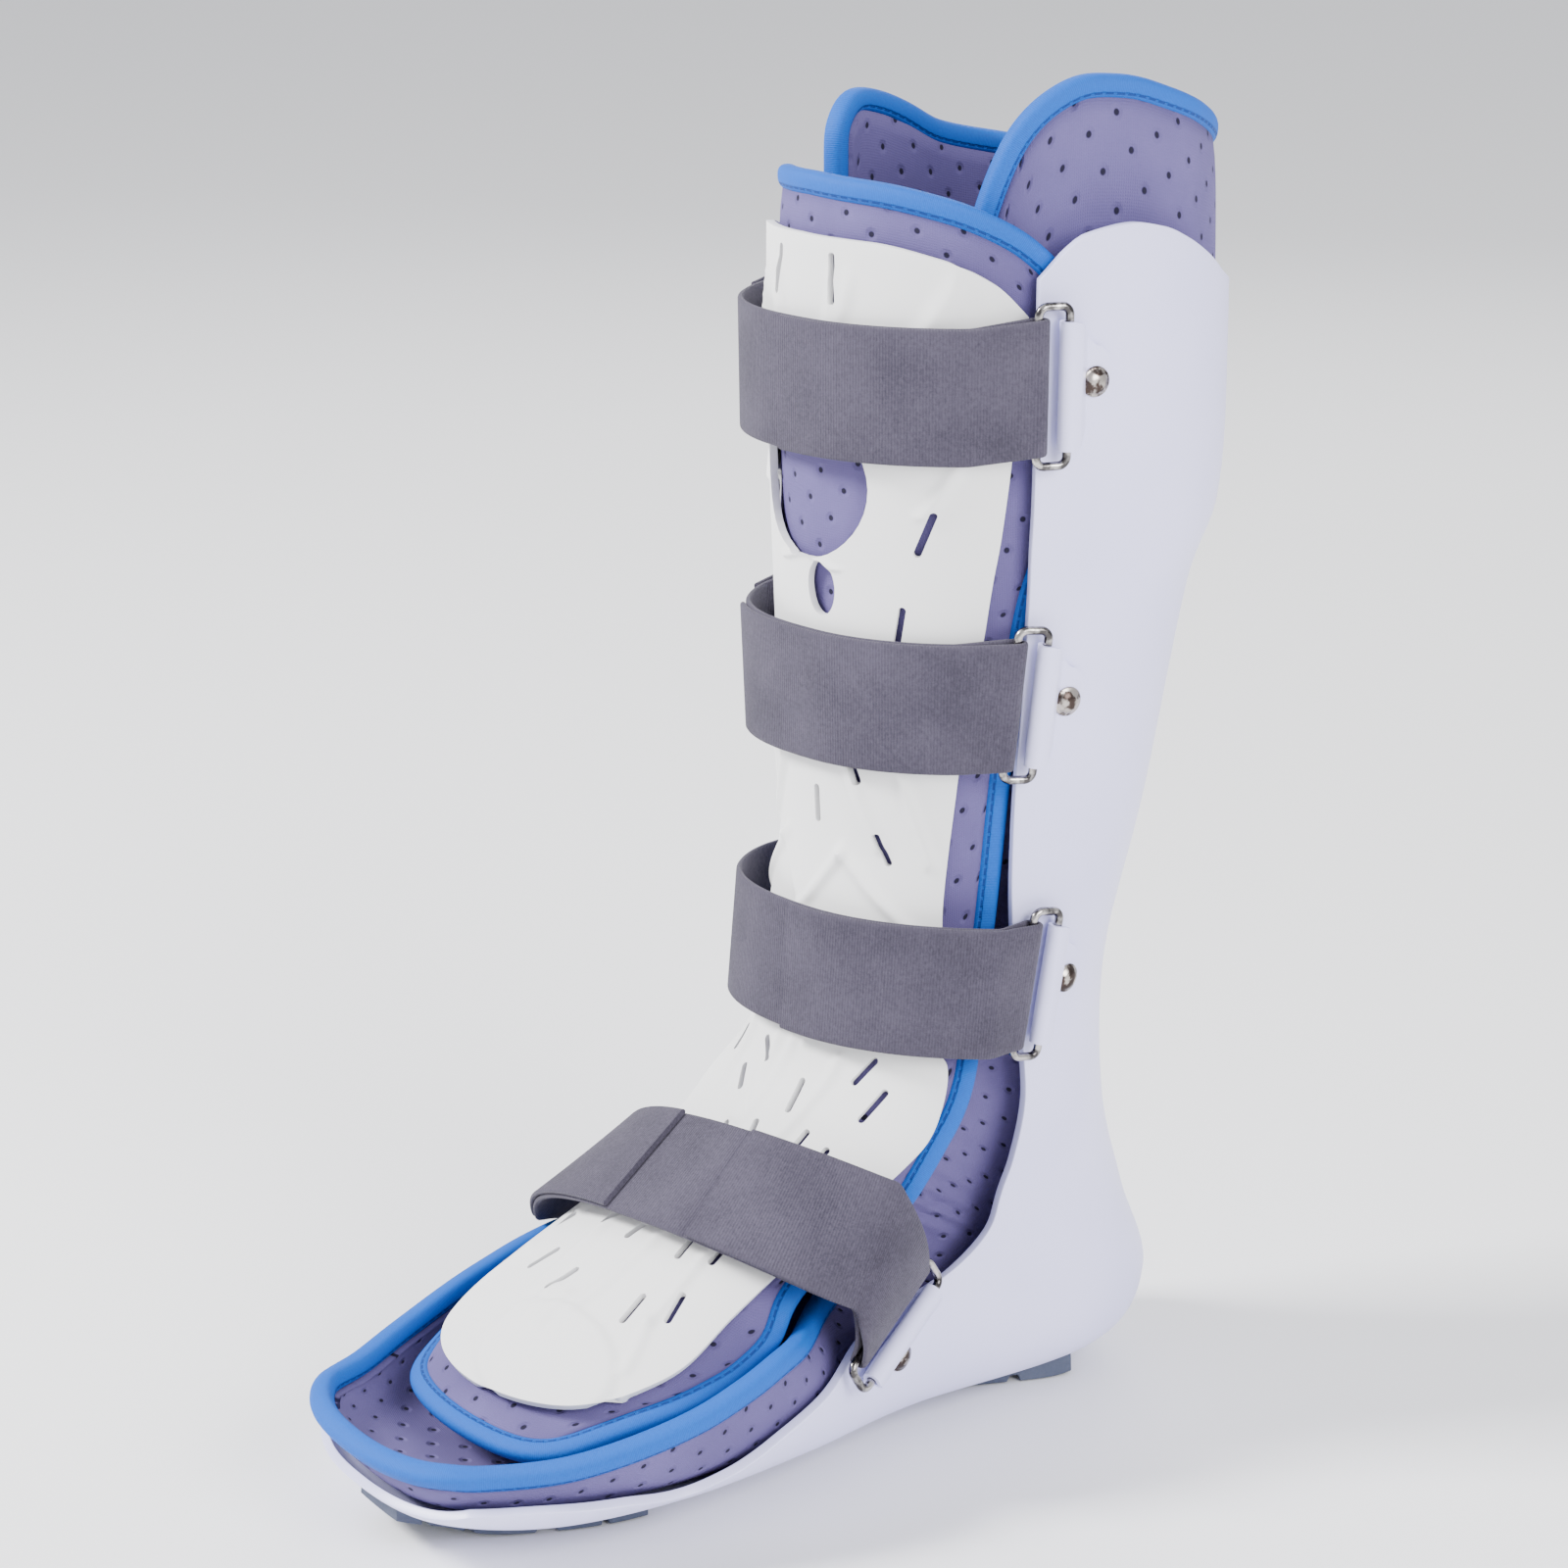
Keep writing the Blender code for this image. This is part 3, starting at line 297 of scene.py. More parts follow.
class Wire:
    """A socket in a material. Arithmetic on it adds Math nodes, and node() adds any other."""

    def __init__(self, tree, socket):
        self.tree, self.socket = tree, socket

    def node(self, kind, settings=None, inputs=None, output=0):
        made = self.tree.nodes.new(kind)
        for key, value in (settings or {}).items():
            setattr(made, key, value)
        for key, value in (inputs or {}).items():
            if isinstance(value, Wire):
                self.tree.links.new(value.socket, made.inputs[key])
            else:
                made.inputs[key].default_value = value
        return Wire(self.tree, made.outputs[output])

    def math(self, operation, *values):
        return self.node("ShaderNodeMath", {"operation": operation}, dict(enumerate(values)))

    def __add__(self, other):
        return self.math("ADD", self, other)

    def __sub__(self, other):
        return self.math("SUBTRACT", self, other)

    def __rsub__(self, other):
        return self.math("SUBTRACT", other, self)

    def __mul__(self, other):
        return self.math("MULTIPLY", self, other)

    def __truediv__(self, other):
        return self.math("DIVIDE", self, other)

    __radd__ = __add__
    __rmul__ = __mul__

    def step(self, start, end):
        """0 at start, 1 at end and smooth between."""
        settings = {"interpolation_type": "SMOOTHSTEP"}
        return self.node("ShaderNodeMapRange", settings, {"Value": self, "From Min": start, "From Max": end})

    def noise(self, scale, detail=3.0, rough=0.5):
        return self.node("ShaderNodeTexNoise", None, {"Vector": self, "Scale": scale, "Detail": detail,
                                                      "Roughness": rough})

    def blend(self, low, high):
        """The colour between low and high at this factor."""
        return self.node("ShaderNodeMix", {"data_type": "RGBA"}, {0: self, 6: low, 7: high}, 2)

    def bump(self, depth, strength=1.0):
        """A normal from this height, where 1 stands for a depth in metres."""
        return self.node("ShaderNodeBump", None, {"Height": self, "Distance": depth, "Strength": strength})


def finish(name, colour, rough, metallic=0.0, **constants):
    """A material, its shader and its Object and UV coordinates."""
    made = bpy.data.materials.new(name)
    made.use_nodes = True
    tree = made.node_tree
    shader = tree.nodes["Principled BSDF"]
    shader.inputs["Base Color"].default_value = (*colour, 1.0)
    shader.inputs["Roughness"].default_value = rough
    shader.inputs["Metallic"].default_value = metallic
    for key, value in constants.items():
        shader.inputs[key.replace("_", " ").title().replace("Ior", "IOR")].default_value = value
    coordinate = tree.nodes.new("ShaderNodeTexCoord")
    return made, shader, Wire(tree, coordinate.outputs["Object"]), Wire(tree, coordinate.outputs["UV"])


def feed(shader, **links):
    """Links wires to a shader's sockets by name."""
    for key, wire in links.items():
        wire.tree.links.new(wire.socket, shader.inputs[key.replace("_", " ").title()])


SHELL_WHITE = (0.68, 0.67, 0.97)
SHELL_SHADE = (0.62, 0.615, 0.92)

shell_plastic, shader, spot, _ = finish("shell_plastic", SHELL_WHITE, 0.36, coat_weight=0.15,
                                        coat_roughness=0.25)
cloud = spot.noise(14.0, 2.0)
grain = spot.noise(900.0, 2.0)
ripple = spot.noise(38.0, 1.0)
feed(shader, base_color=cloud.step(0.3, 0.7).blend((*SHELL_WHITE, 1), (*SHELL_SHADE, 1)),
     roughness=0.32 + 0.10 * cloud + 0.04 * grain, normal=(ripple + 0.02 * grain).bump(0.0006, 0.5))

station, angle = patch(top_line(SHELL_TOP), SHELL_END, SHELL_EDGE, 190, 121, corner=0.35)
shell_points = cradle.at(station, angle, SHELL_LIFT)
rear_shell = surface("rear_shell_skin", shell_points, cloth_map(shell_points))
dress(wall(rear_shell, SHELL_WALL, 0.0009), shell_plastic, "shell_plastic", "rear_shell")

# Rear liner. A 6 mm sheet of soft foam faced with a lilac-grey knit, punched all over with small
# breathing holes. It lines the shell, stands up above it in two lobes, and lies under the foot. Its
# edge is pinched by the binding tape, and it creases where the ankle bends.

LINER_WALL = 0.006
BINDING_FOLD = 0.0008
TONGUE_WALL = 0.005
TONGUE_LIFT = -BINDING_FOLD
TUCK = TONGUE_WALL + 2 * BINDING_FOLD + 2 * SKIN_GAP - TONGUE_LIFT
TUCK_ANGLES = (58, 98)
TUCK_STATIONS = (8.9, 11.1)
FOOT_SLACK = 0.0008
FOOT_STATIONS = (6.0, 8.0)
LINER_TOP = (
    (-122, 0.905), (-114, 0.925), (-105, 0.920), (-95, 0.908), (-80, 0.884), (-60, 0.868),
    (-40, 0.858), (-15, 0.862), (15, 0.884), (35, 0.902), (55, 0.926), (70, 0.945),
    (82, 0.958), (92, 0.960), (100, 0.951), (106, 0.938), (112, 0.915), (118, 0.872), (122, 0.830),
)
LINER_EDGE = (
    (0.0, 122), (8.0, 121), (9.0, 113), (9.8, 103), (10.4, 99), (11.0, 98), (11.5, 92),
    (12.0, 85), (13.0, 77), (14.0, 69), (14.5, 58), (14.8, 42),
)
LINER_END = 14.8
PINCH = 0.0011
PINCH_REACH = 0.007


def liner_lift(station, angle):
    """The liner follows the cradle, tucks in under the tongue at its front edges, and comes a
    little away from the shell round the foot."""
    inside = ramp(np.abs(angle), *TUCK_ANGLES) * (1 - ramp(station, *TUCK_STATIONS))
    return -TUCK * inside - FOOT_SLACK * ramp(station, *FOOT_STATIONS)


def from_rim(points):
    """The distance from each point of a grid to its nearest border, along rows and columns."""
    across, along = lengths(points, 1), lengths(points, 0)
    return np.minimum(np.minimum(across, across[:, -1:] - across), np.minimum(along, along[-1:] - along))


def foam_lift(points):
    """Foam is pinched at its rim and swells to its full height behind it, by an exponential."""
    return -PINCH * np.exp(-from_rim(points) / PINCH_REACH)


def crease(station, angle, middle, width, spacing, depth):
    """A patch of creases: a cosine along the stations under a Gaussian round a middle."""
    away = ((station - middle[0]) / width[0]) ** 2 + ((np.abs(angle) - middle[1]) / width[1]) ** 2
    slant = station + 0.012 * (np.abs(angle) - middle[1])
    return depth * np.cos(2 * np.pi * slant / spacing) * np.exp(-away)


LILAC = (0.128, 0.104, 0.262)
LILAC_DEEP = (0.090, 0.072, 0.195)
# Near-black painted shade for the inside of each breathing hole.
HOLE_PAINTED_SHADE = (0.008, 0.006, 0.022)
HOLE_PITCH = 0.0102
HOLE_TURN = math.radians(-30)
HOLE_RADIUS = 0.0009

foam_fabric, shader, spot, flat = finish("foam_fabric", LILAC, 0.9, specular_ior_level=0.3)
turned = flat.node("ShaderNodeMapping", None, {"Vector": flat, "Rotation": (0, 0, HOLE_TURN),
                                               "Scale": (1 / HOLE_PITCH, 1 / HOLE_PITCH, 1)})
cell = turned.node("ShaderNodeVectorMath", {"operation": "FRACTION"}, {0: turned})
centred = cell.node("ShaderNodeVectorMath", {"operation": "SUBTRACT"}, {0: cell, 1: (0.5, 0.5, 0.0)})
reach = centred.node("ShaderNodeVectorMath", {"operation": "LENGTH"}, {0: centred}, 1) * HOLE_PITCH
# Each breathing hole is a dot of painted shade with a dimple bumped round it; the foam is not cut through.
hole = 1 - reach.step(HOLE_RADIUS * 0.75, HOLE_RADIUS * 1.25)
dimple = 1 - reach.step(HOLE_RADIUS * 0.8, HOLE_RADIUS * 2.6)
knit_waves = [flat.node("ShaderNodeTexWave", {"wave_type": "BANDS", "bands_direction": direction},
                        {"Vector": flat, "Scale": 420.0, "Distortion": 1.5, "Detail": 1.0})
              for direction in ("X", "Y")]
knit = knit_waves[0] * knit_waves[1]
cloud = spot.noise(26.0, 4.0)
fuzz = spot.noise(1600.0, 2.0, 0.7)
tone = (cloud.step(0.3, 0.75) * 0.7 + 0.3 * fuzz).blend((*LILAC_DEEP, 1), (*LILAC, 1))
feed(shader, base_color=hole.blend(tone, (*HOLE_PAINTED_SHADE, 1)), roughness=0.82 + 0.12 * fuzz,
     normal=(0.16 * knit + 0.12 * fuzz + 0.35 * cloud - dimple).bump(0.0007, 0.8))


def foam(name, skin, station, angle, lift, thickness):
    """A foam sheet over a skin, with its pinched rim, as its object and its points and normals."""
    level = skin.at(station, angle, lift)
    points = skin.at(station, angle, lift + foam_lift(level))
    normals = skin.normal(station, angle)
    obj = surface(name, points, cloth_map(level), turn=skin.outward < 0)
    solid = obj.modifiers.new("Wall", "SOLIDIFY")
    solid.thickness = thickness - PINCH * 0.5
    solid.offset = -1
    return obj, level - normals * thickness / 2, normals


station, angle = patch(top_line(LINER_TOP), LINER_END, LINER_EDGE, 190, 121, corner=0.22)
creases = (crease(station, angle, (7.9, 108), (0.8, 12), 0.36, 0.0009)
           + crease(station, angle, (6.0, 100), (0.6, 10), 0.5, 0.0004))
rear_liner, liner_middle, liner_normals = foam("rear_liner_foam", cradle, station, angle,
                                               liner_lift(station, angle) + creases, LINER_WALL)
dress(rear_liner, foam_fabric, "foam_fabric", "rear_liner")

# Binding of the rear liner. A bright blue woven tape, folded over the raw edge of the foam and sewn
# down on both faces by one line of stitches.

BINDING_WIDTH = 0.0072
TAPE_BLUE = (0.0, 0.112, 0.52)
TAPE_DEEP = (0.0, 0.062, 0.34)
# Dark blue of the stitches, also used for painted shade along their sewn grooves.
STITCH_AND_GROOVE_SHADE_BLUE = (0.0, 0.03, 0.18)
STITCH_PITCH = 0.0034
STITCH_PLACES = (0.17, 0.83)

binding_tape, shader, spot, flat = finish("binding_tape", TAPE_BLUE, 0.7, specular_ior_level=0.25)
parts = flat.node("ShaderNodeSeparateXYZ", None, {"Vector": flat})
run = Wire(parts.tree, parts.socket.node.outputs[0])
round_tape = Wire(parts.tree, parts.socket.node.outputs[1])
ribs = run.math("SINE", run * (2 * math.pi / 0.0005))
line = 0.0 * run
# Each stitch line is darkened all along as painted shade in the groove that the stitches pull in, and its stitches
# are darker dashes on top.
for place in STITCH_PLACES:
    line = line + (1 - (round_tape - place).math("ABSOLUTE", round_tape - place).step(0.012, 0.03))
thread = run.math("FRACT", run / STITCH_PITCH)
dash = thread.step(0.12, 0.22) * (1 - thread.step(0.78, 0.88))
stitch = line * dash
fuzz = spot.noise(1400.0, 2.0)
tone = (0.6 * fuzz + 0.25 * ribs + 0.2).blend((*TAPE_DEEP, 1), (*TAPE_BLUE, 1))
feed(shader, base_color=(line * 0.35 + 0.6 * stitch).blend(tone, (*STITCH_AND_GROOVE_SHADE_BLUE, 1)), roughness=0.6 + 0.2 * fuzz,
     normal=(0.08 * ribs + 0.3 * fuzz - 1.4 * line + 0.9 * stitch).bump(0.0004, 0.8))


def around(grid):
    """The border of a grid in order: top row, last column, last row back, first column back."""
    return np.concatenate([grid[0, :-1], grid[:-1, -1], grid[-1, :0:-1], grid[:0:-1, 0]])


def even_loop(points, step):
    """Shares of the points of a closed line that lie evenly spaced along it."""
    closed = np.concatenate([points, points[:1]])
    run = np.concatenate([[0], np.cumsum(np.linalg.norm(np.diff(closed, axis=0), axis=1))])
    count = int(round(run[-1] / step))
    return np.interp(np.linspace(0, run[-1], count, endpoint=False), run, np.arange(len(closed)))


def along_loop(values, shares):
    """The values of a closed line at shares of its points."""
    closed = np.concatenate([values, values[:1]])
    places = np.arange(len(closed))
    return np.stack([np.interp(shares, places, column) for column in closed.T], -1)


def soften(values, width):
    """A closed line smoothed by a Gaussian of some points' width."""
    offset = np.arange(len(values))
    offset = np.minimum(offset, len(values) - offset)
    kernel = np.exp(-0.5 * (offset / width) ** 2)
    spectrum = np.fft.rfft(kernel / kernel.sum())[:, None]
    return np.fft.irfft(np.fft.rfft(values, axis=0) * spectrum, len(values), axis=0)


def tape(name, middle, normals, thickness, outward, slot_node):
    """A tape along a foam sheet's rim. Its section is a closed superellipse, wide along the sheet and
    as thick as the foam and both folds, drawn in towards the foam.
    """
    rim, across = around(middle), around(normals)
    shares = even_loop(rim, 0.0016)
    rim = soften(along_loop(rim, shares), 1.6)
    across = unit(soften(along_loop(across, shares), 2.0))
    ahead = unit(np.roll(rim, -1, axis=0) - np.roll(rim, 1, axis=0))
    beyond = unit(soften(np.cross(ahead, across) * outward, 1.5))
    turn = np.linspace(-np.pi, np.pi, 24, endpoint=False)
    c, s = np.cos(turn), np.sin(turn)
    wide = np.sign(c) * np.abs(c) ** 0.8
    thick = np.sign(s) * np.abs(s) ** 0.8 * (1 - 0.16 * (1 - c) / 2)
    reach = 0.5 * BINDING_WIDTH * wide + 0.42 * BINDING_WIDTH
    height = (thickness / 2 + BINDING_FOLD) * thick
    points = rim[:, None] + beyond[:, None] * reach[:, None] + across[:, None] * height[:, None]
    run = np.arange(len(rim) + 1) * 0.0016
    flat = np.stack(np.broadcast_arrays(run[:, None], np.linspace(0, 1, 25)[None, :]), -1)
    obj = surface(name, points, flat, wrap=(True, True), turn=outward > 0)
    return dress(obj, binding_tape, "binding_tape", slot_node)


tape("rear_liner_tape", liner_middle, liner_normals, LINER_WALL, cradle.outward, "rear_liner_binding")

# Tongue. A second padded sheet of the same punched foam, over the shin, the instep and the toes,
# with the same blue tape round it.

TONGUE_SECTIONS = np.array([
    # crest y  crest z  side y  side z  half width
    (-0.204, 1.053, 0.141, -0.128, 0.391), (-0.239, 0.925, 0.092, -0.164, 0.406),
    (-0.289, 0.806, 0.070, -0.201, 0.391), (-0.345, 0.697, 0.049, -0.219, 0.391),
    (-0.401, 0.605, 0.035, -0.247, 0.422), (-0.461, 0.514, 0.021, -0.274, 0.453),
    (-0.528, 0.414, 0.014, -0.237, 0.4375), (-0.606, 0.295, 0.011, -0.201, 0.391),
    (-0.648, 0.222, 0.007, -0.183, 0.359),
])
TONGUE_TOP = (
    (0, 0.869), (25, 0.865), (45, 0.852), (62, 0.826), (72, 0.796),
)
TONGUE_EDGE = (
    (0.0, 72), (2.0, 71), (3.7, 66), (4.4, 67), (5.6, 69), (6.35, 70), (6.85, 74), (7.4, 78),
    (8.1, 74), (8.8, 66), (9.3, 68), (9.8, 76), (10.3, 73), (10.85, 66), (11.8, 58), (12.4, 52),
    (13.0, 45), (13.55, 37),
)
TONGUE_END = 13.55


def lid_place(columns, angle):
    """Elliptical arches: angle 0 at the crest, falling to the sides with 1 less its cosine."""
    crest_y, crest_z, side_y, side_z, half = columns
    turn = np.radians(angle)
    drop = 1 - np.cos(turn)
    return np.stack([half * np.sin(turn), crest_y + side_y * drop, crest_z + side_z * drop], -1)


shin_rows = np.stack([leg_front * CALF_DEPTH, leg_z, (leg_back - leg_front) * CALF_DEPTH / 2, 0 * leg_z,
                      leg_half * CALF_WIDTH], 1)
tongue_scale = (FOOT_LENGTH, ANKLE_RISE, FOOT_LENGTH, ANKLE_RISE, FOOT_WIDTH)
tongue_rows = TONGUE_SECTIONS * tongue_scale + (0, SOLE_HEIGHT, 0, 0, 0)
lid = Skin(np.concatenate([shin_rows, tongue_rows]), lid_place, -1)

station, angle = patch(top_line(TONGUE_TOP, mirrored=True), TONGUE_END, TONGUE_EDGE, 170, 81, join=1.5,
                       upper=16, corner=0.95, power=2, root=2)
tongue, tongue_middle, tongue_normals = foam("tongue_foam", lid, station, angle, TONGUE_LIFT + 0 * angle,
                                             TONGUE_WALL)
dress(tongue, foam_fabric, "foam_fabric", "tongue_liner")
tape("tongue_tape", tongue_middle, tongue_normals, TONGUE_WALL, lid.outward, "tongue_binding")

# Shin plate. A thin moulded plate of the same white plastic, bonded to the tongue. Two oval windows
# and rows of slots let the shin breathe, and low ribs stiffen it. Its lower end laps over the
# instep plate.

PLATE_WALL = 0.0025
PLATE_ROUNDING = 0.0005
PLATE_LIFT = TONGUE_LIFT + SKIN_GAP + PLATE_WALL
LAP_STATIONS = (4.0, 4.8)
LAP_RISE = PLATE_WALL + 1.5 * SKIN_GAP
SLOT_WIDTH = 0.0024
SHIN_TOP = (
    (0, 0.834), (25, 0.832), (45, 0.818), (58, 0.795), (66, 0.765),
)
SHIN_EDGE = (
    (0.8, 66), (1.4, 63), (2.3, 60), (3.0, 59), (3.7, 55), (4.3, 54), (4.9, 57), (5.3, 58), (5.55, 50),
)
SHIN_END = 5.55
OVALS = (
    # station, angle, half height, half width
    (1.72, 1.5, 0.0235, 0.0245), (2.80, 9.0, 0.0085, 0.0055),
)
SHIN_SLOTS = (
    # station, angle to station, angle
    (0.62, 14, 0.80, 15), (1.85, 44, 2.25, 39), (2.88, 36, 3.20, 34), (3.55, 17, 3.76, 24),
    (3.98, 30, 4.15, 36),
)
SHIN_SLOT_MIDDLE = 3
SHIN_MIDDLE_SLOT = (3.80, 6, 3.98, 7)
SHIN_RIBS = (
    # station, angle to station, angle, half width, height
    (0.98, 36, 0.72, 48, 2.1, 0.0016), (1.40, 53, 1.88, 41, 2.2, 0.0016),
    (3.40, 9, 4.05, 32, 2.1, 0.0019), (3.40, 29, 4.12, 49, 2.1, 0.0019),
    (4.60, -4, 4.11, 18, 2.1, 0.0016), (4.11, 18, 4.60, 52, 2.1, 0.0016),
    (0.95, -6, 0.72, -9, 2.0, 0.0012), (0.95, 14, 0.72, 20, 2.0, 0.0012),
    (2.32, 1, 2.52, 14, 2.6, 0.0012),
)


def ribs_on(table, station, angle, station_scale, middle=0.0):
    """The height of ribs: each a Gaussian of the distance to its line, in degrees of the section,
    with a station counted as some degrees. Each rib is repeated on the far side of the middle."""
    height = 0 * angle
    for start, first, end, second, half, depth in table:
        for side in (1, -1):
            a = np.array([start * station_scale, middle + side * (first - middle)])
            b = np.array([end * station_scale, middle + side * (second - middle)])
            here = np.stack([station * station_scale, angle], -1)
            share = np.clip(((here - a) @ (b - a)) / ((b - a) @ (b - a)), 0, 1)
            away = np.linalg.norm(here - a - share[..., None] * (b - a), axis=-1)
            height = height + depth * np.exp(-(away / half) ** 2)
    return height


def window(name, skin, start, end, half_width, half_length=None):
    """A prism through a plate. Its outline is a rounded slot between two places, or an ellipse where
    a half length is given: half width times the sine, and half length times the cosine."""
    turn = np.linspace(0, 2 * np.pi, 40, endpoint=False)
    a, b = skin.at(*start), skin.at(*end)
    middle_place = (np.array(start) + np.array(end)) / 2
    normal = skin.normal(*middle_place)
    if half_length is None:
        along = unit(b - a - normal * np.dot(b - a, normal))
        straight = max(np.linalg.norm(b - a) / 2 - half_width, 0)
        x = half_width * np.cos(turn) + straight * np.sign(np.cos(turn))
    else:
        along, _ = skin.speed(*middle_place)
        along = unit(along - normal * np.dot(along, normal))
        x = half_length * np.cos(turn)
    side = np.cross(normal, along)
    ring = (a + b) / 2 + along * x[:, None] + side * (half_width * np.sin(turn))[:, None]
    depth = 0.020 if half_length else 0.010
    obj = surface(name, ring[None] + normal * np.array([-depth, depth])[:, None, None], wrap=(False, True),
                  caps=True)
    obj.data.validate()
    return obj


def pierce(obj, cutters):
    """Cuts windows through a plate and keeps the plain mesh that results."""
    group = bpy.data.collections.new(obj.name + "_windows")
    bpy.context.scene.collection.children.link(group)
    for cutter in cutters:
        bpy.context.scene.collection.objects.unlink(cutter)
        group.objects.link(cutter)
    opened = obj.modifiers.new("Windows", "BOOLEAN")
    opened.operand_type = "COLLECTION"
    opened.collection = group
    opened.solver = "MANIFOLD"
    baked = bpy.data.meshes.new_from_object(obj.evaluated_get(bpy.context.evaluated_depsgraph_get()))
    obj.modifiers.clear()
    obj.data = baked
    for cutter in cutters:
        bpy.data.objects.remove(cutter, do_unlink=True)
    bpy.data.collections.remove(group)
    return obj


def lap_lift(station, angle):
    return PLATE_LIFT + LAP_RISE * ramp(station, *LAP_STATIONS) + 0 * angle


def plate(name, station, angle, lift):
    """A plate over the lid: its grid with the lift given, then its wall."""
    points = lid.at(station, angle, lift)
    obj = surface(name, points, cloth_map(points), turn=True)
    return wall(obj, PLATE_WALL, PLATE_ROUNDING, even=False)


station, angle = patch(top_line(SHIN_TOP, mirrored=True), SHIN_END, SHIN_EDGE, 200, 151, join=1.4, upper=18,
                       corner=0.16)
shin_plate = plate("shin_plate_moulding", station, angle,
                   lap_lift(station, angle) + ribs_on(SHIN_RIBS, station, angle, 62.0, SHIN_SLOT_MIDDLE))
cutters = [window(f"oval_{i}", lid, (station_o, angle_o), (station_o, angle_o), half_width, half_length)
           for i, (station_o, angle_o, half_length, half_width) in enumerate(OVALS)]
for i, (station_a, angle_a, station_b, angle_b) in enumerate(SHIN_SLOTS):
    for side in (1, -1):
        ends = [SHIN_SLOT_MIDDLE + side * (a - SHIN_SLOT_MIDDLE) for a in (angle_a, angle_b)]
        cutters.append(window(f"shin_slot_{i}_{side}", lid, (station_a, ends[0]), (station_b, ends[1]),
                              SLOT_WIDTH / 2))
cutters.append(window("shin_slot_middle", lid, SHIN_MIDDLE_SLOT[:2], SHIN_MIDDLE_SLOT[2:], SLOT_WIDTH / 2))
dress(pierce(shin_plate, cutters), shell_plastic, "shell_plastic", "shin_plate")

# Instep plate. The lower of the two plates, from the ankle to the toes, with its own fan of slots
# and a low raised cap over the toes.

INSTEP_START = 4.95
INSTEP_END = 13.05
INSTEP_EDGE = (
    (4.95, 48), (5.4, 56), (5.65, 64), (6.1, 67), (6.75, 71), (7.3, 69), (9.1, 61), (10.2, 57),
    (11.0, 56), (11.7, 53), (12.4, 46), (13.05, 37),
)
INSTEP_SLOTS = (
    (6.05, -12, 6.45, -3), (6.70, -16, 7.15, -9), (6.45, 15, 7.12, 17), (5.72, 39, 6.20, 33),
    (6.12, 46, 6.73, 43), (7.45, 8, 7.80, 11), (7.70, -3, 8.00, -2), (7.20, 29, 7.58, 29),
    (7.28, 40, 7.60, 40), (9.53, 23, 10.03, 24), (9.33, 36, 9.75, 36), (9.83, 3, 10.25, 1),
    (9.88, -10, 10.25, -13), (10.90, -19, 11.40, -24), (11.05, -3, 11.60, -6),
    (10.75, 25, 11.30, 27), (10.33, 36, 10.83, 39), (6.10, -34, 6.60, -31), (9.50, -34, 10.0, -35),
    (10.2, -32, 10.7, -35),
)
TOE_CAP = (12.28, 19)
TOE_CAP_REACH = (0.74, 30)
TOE_CAP_RISE = 0.0015
INSTEP_RIBS = (
    # station, angle to station, angle, half width, height
    (8.9, 13, 11.6, 10, 2.2, 0.0014), (8.9, 31, 11.0, 34, 2.2, 0.0014), (5.9, 25, 7.9, 20, 2.2, 0.0014),
    (5.9, 4, 7.6, 2, 2.2, 0.0011), (11.04, 34, 11.67, 43, 2.2, 0.0012), (11.5, 4, 12.03, 6, 2.2, 0.0012),
)


def toe_cap(station, angle):
    """The cap's height: a smooth step down at the rim of an ellipse in station and angle."""
    away = np.hypot((station - TOE_CAP[0]) / TOE_CAP_REACH[0], (angle - TOE_CAP[1]) / TOE_CAP_REACH[1])
    return TOE_CAP_RISE * (1 - ramp(away, 0.9, 1.1))


station, angle = patch(INSTEP_START, INSTEP_END, INSTEP_EDGE, 190, 121, upper=0, corner=0.9,
                       power=2, root=2)
raised = toe_cap(station, angle) + ribs_on(INSTEP_RIBS, station, angle, 20.0)
instep_plate = plate("instep_plate_moulding", station, angle, PLATE_LIFT + raised)
cutters = [window(f"instep_slot_{i}", lid, ends[:2], ends[2:], SLOT_WIDTH / 2)
           for i, ends in enumerate(INSTEP_SLOTS)]
dress(pierce(instep_plate, cutters), shell_plastic, "shell_plastic", "instep_plate")

# Rings. Each strap end turns through a rectangular ring of bent and welded steel wire, 2.6 mm
# thick, that lies on the shell's side.

CLEAR = 0.0003
STRAP_WIDTH = 0.040
STRAP_THICKNESS = 0.0018
STRAP_GAP = 0.0016
STRAP_SLACK = 0.0060
RING_WIRE = 0.0026
RING_DEPTH = 0.0094
RING_CORNER = 0.0026
RING_SLACK = 0.0007
TAB_REACH = 0.0094
TAB_UNDER = 0.25
RING_RISE = 3 * CLEAR + STRAP_THICKNESS + RING_WIRE / 2
STRAPS = (
    # name, far, crest, near, ring station, ring angle, turn, leave, bow, fold far, fold near
    ("calf", 1.15, 1.15, 1.15, 1.10, 109.5, 0, 52, 0.0, -51, -1),
    ("shin", 3.40, 3.40, 3.40, 3.38, 109.5, 0, 52, 0.0, -51, -30),
    ("ankle", 4.88, 4.82, 4.88, 4.90, 92.3, 0, 72, 0.0, -71, 4),
    ("instep", 9.35, 8.98, 8.30, 9.85, 94.0, 25, 80, 0.003, -9, 24),
)

steel, shader, spot, _ = finish("ring_steel", (0.45, 0.43, 0.42), 0.2, 1.0)
# Near-black patches in the steel's colour are painted reflections, placed at random; the same noise also varies the
# roughness and bump.
smudge_and_painted_reflection = spot.noise(260.0, 3.0)
feed(shader, roughness=0.12 + 0.16 * smudge_and_painted_reflection, normal=smudge_and_painted_reflection.bump(0.0001, 0.3),
     base_color=smudge_and_painted_reflection.step(0.4, 0.62).blend((0.07, 0.065, 0.065, 1), (0.46, 0.44, 0.43, 1)))


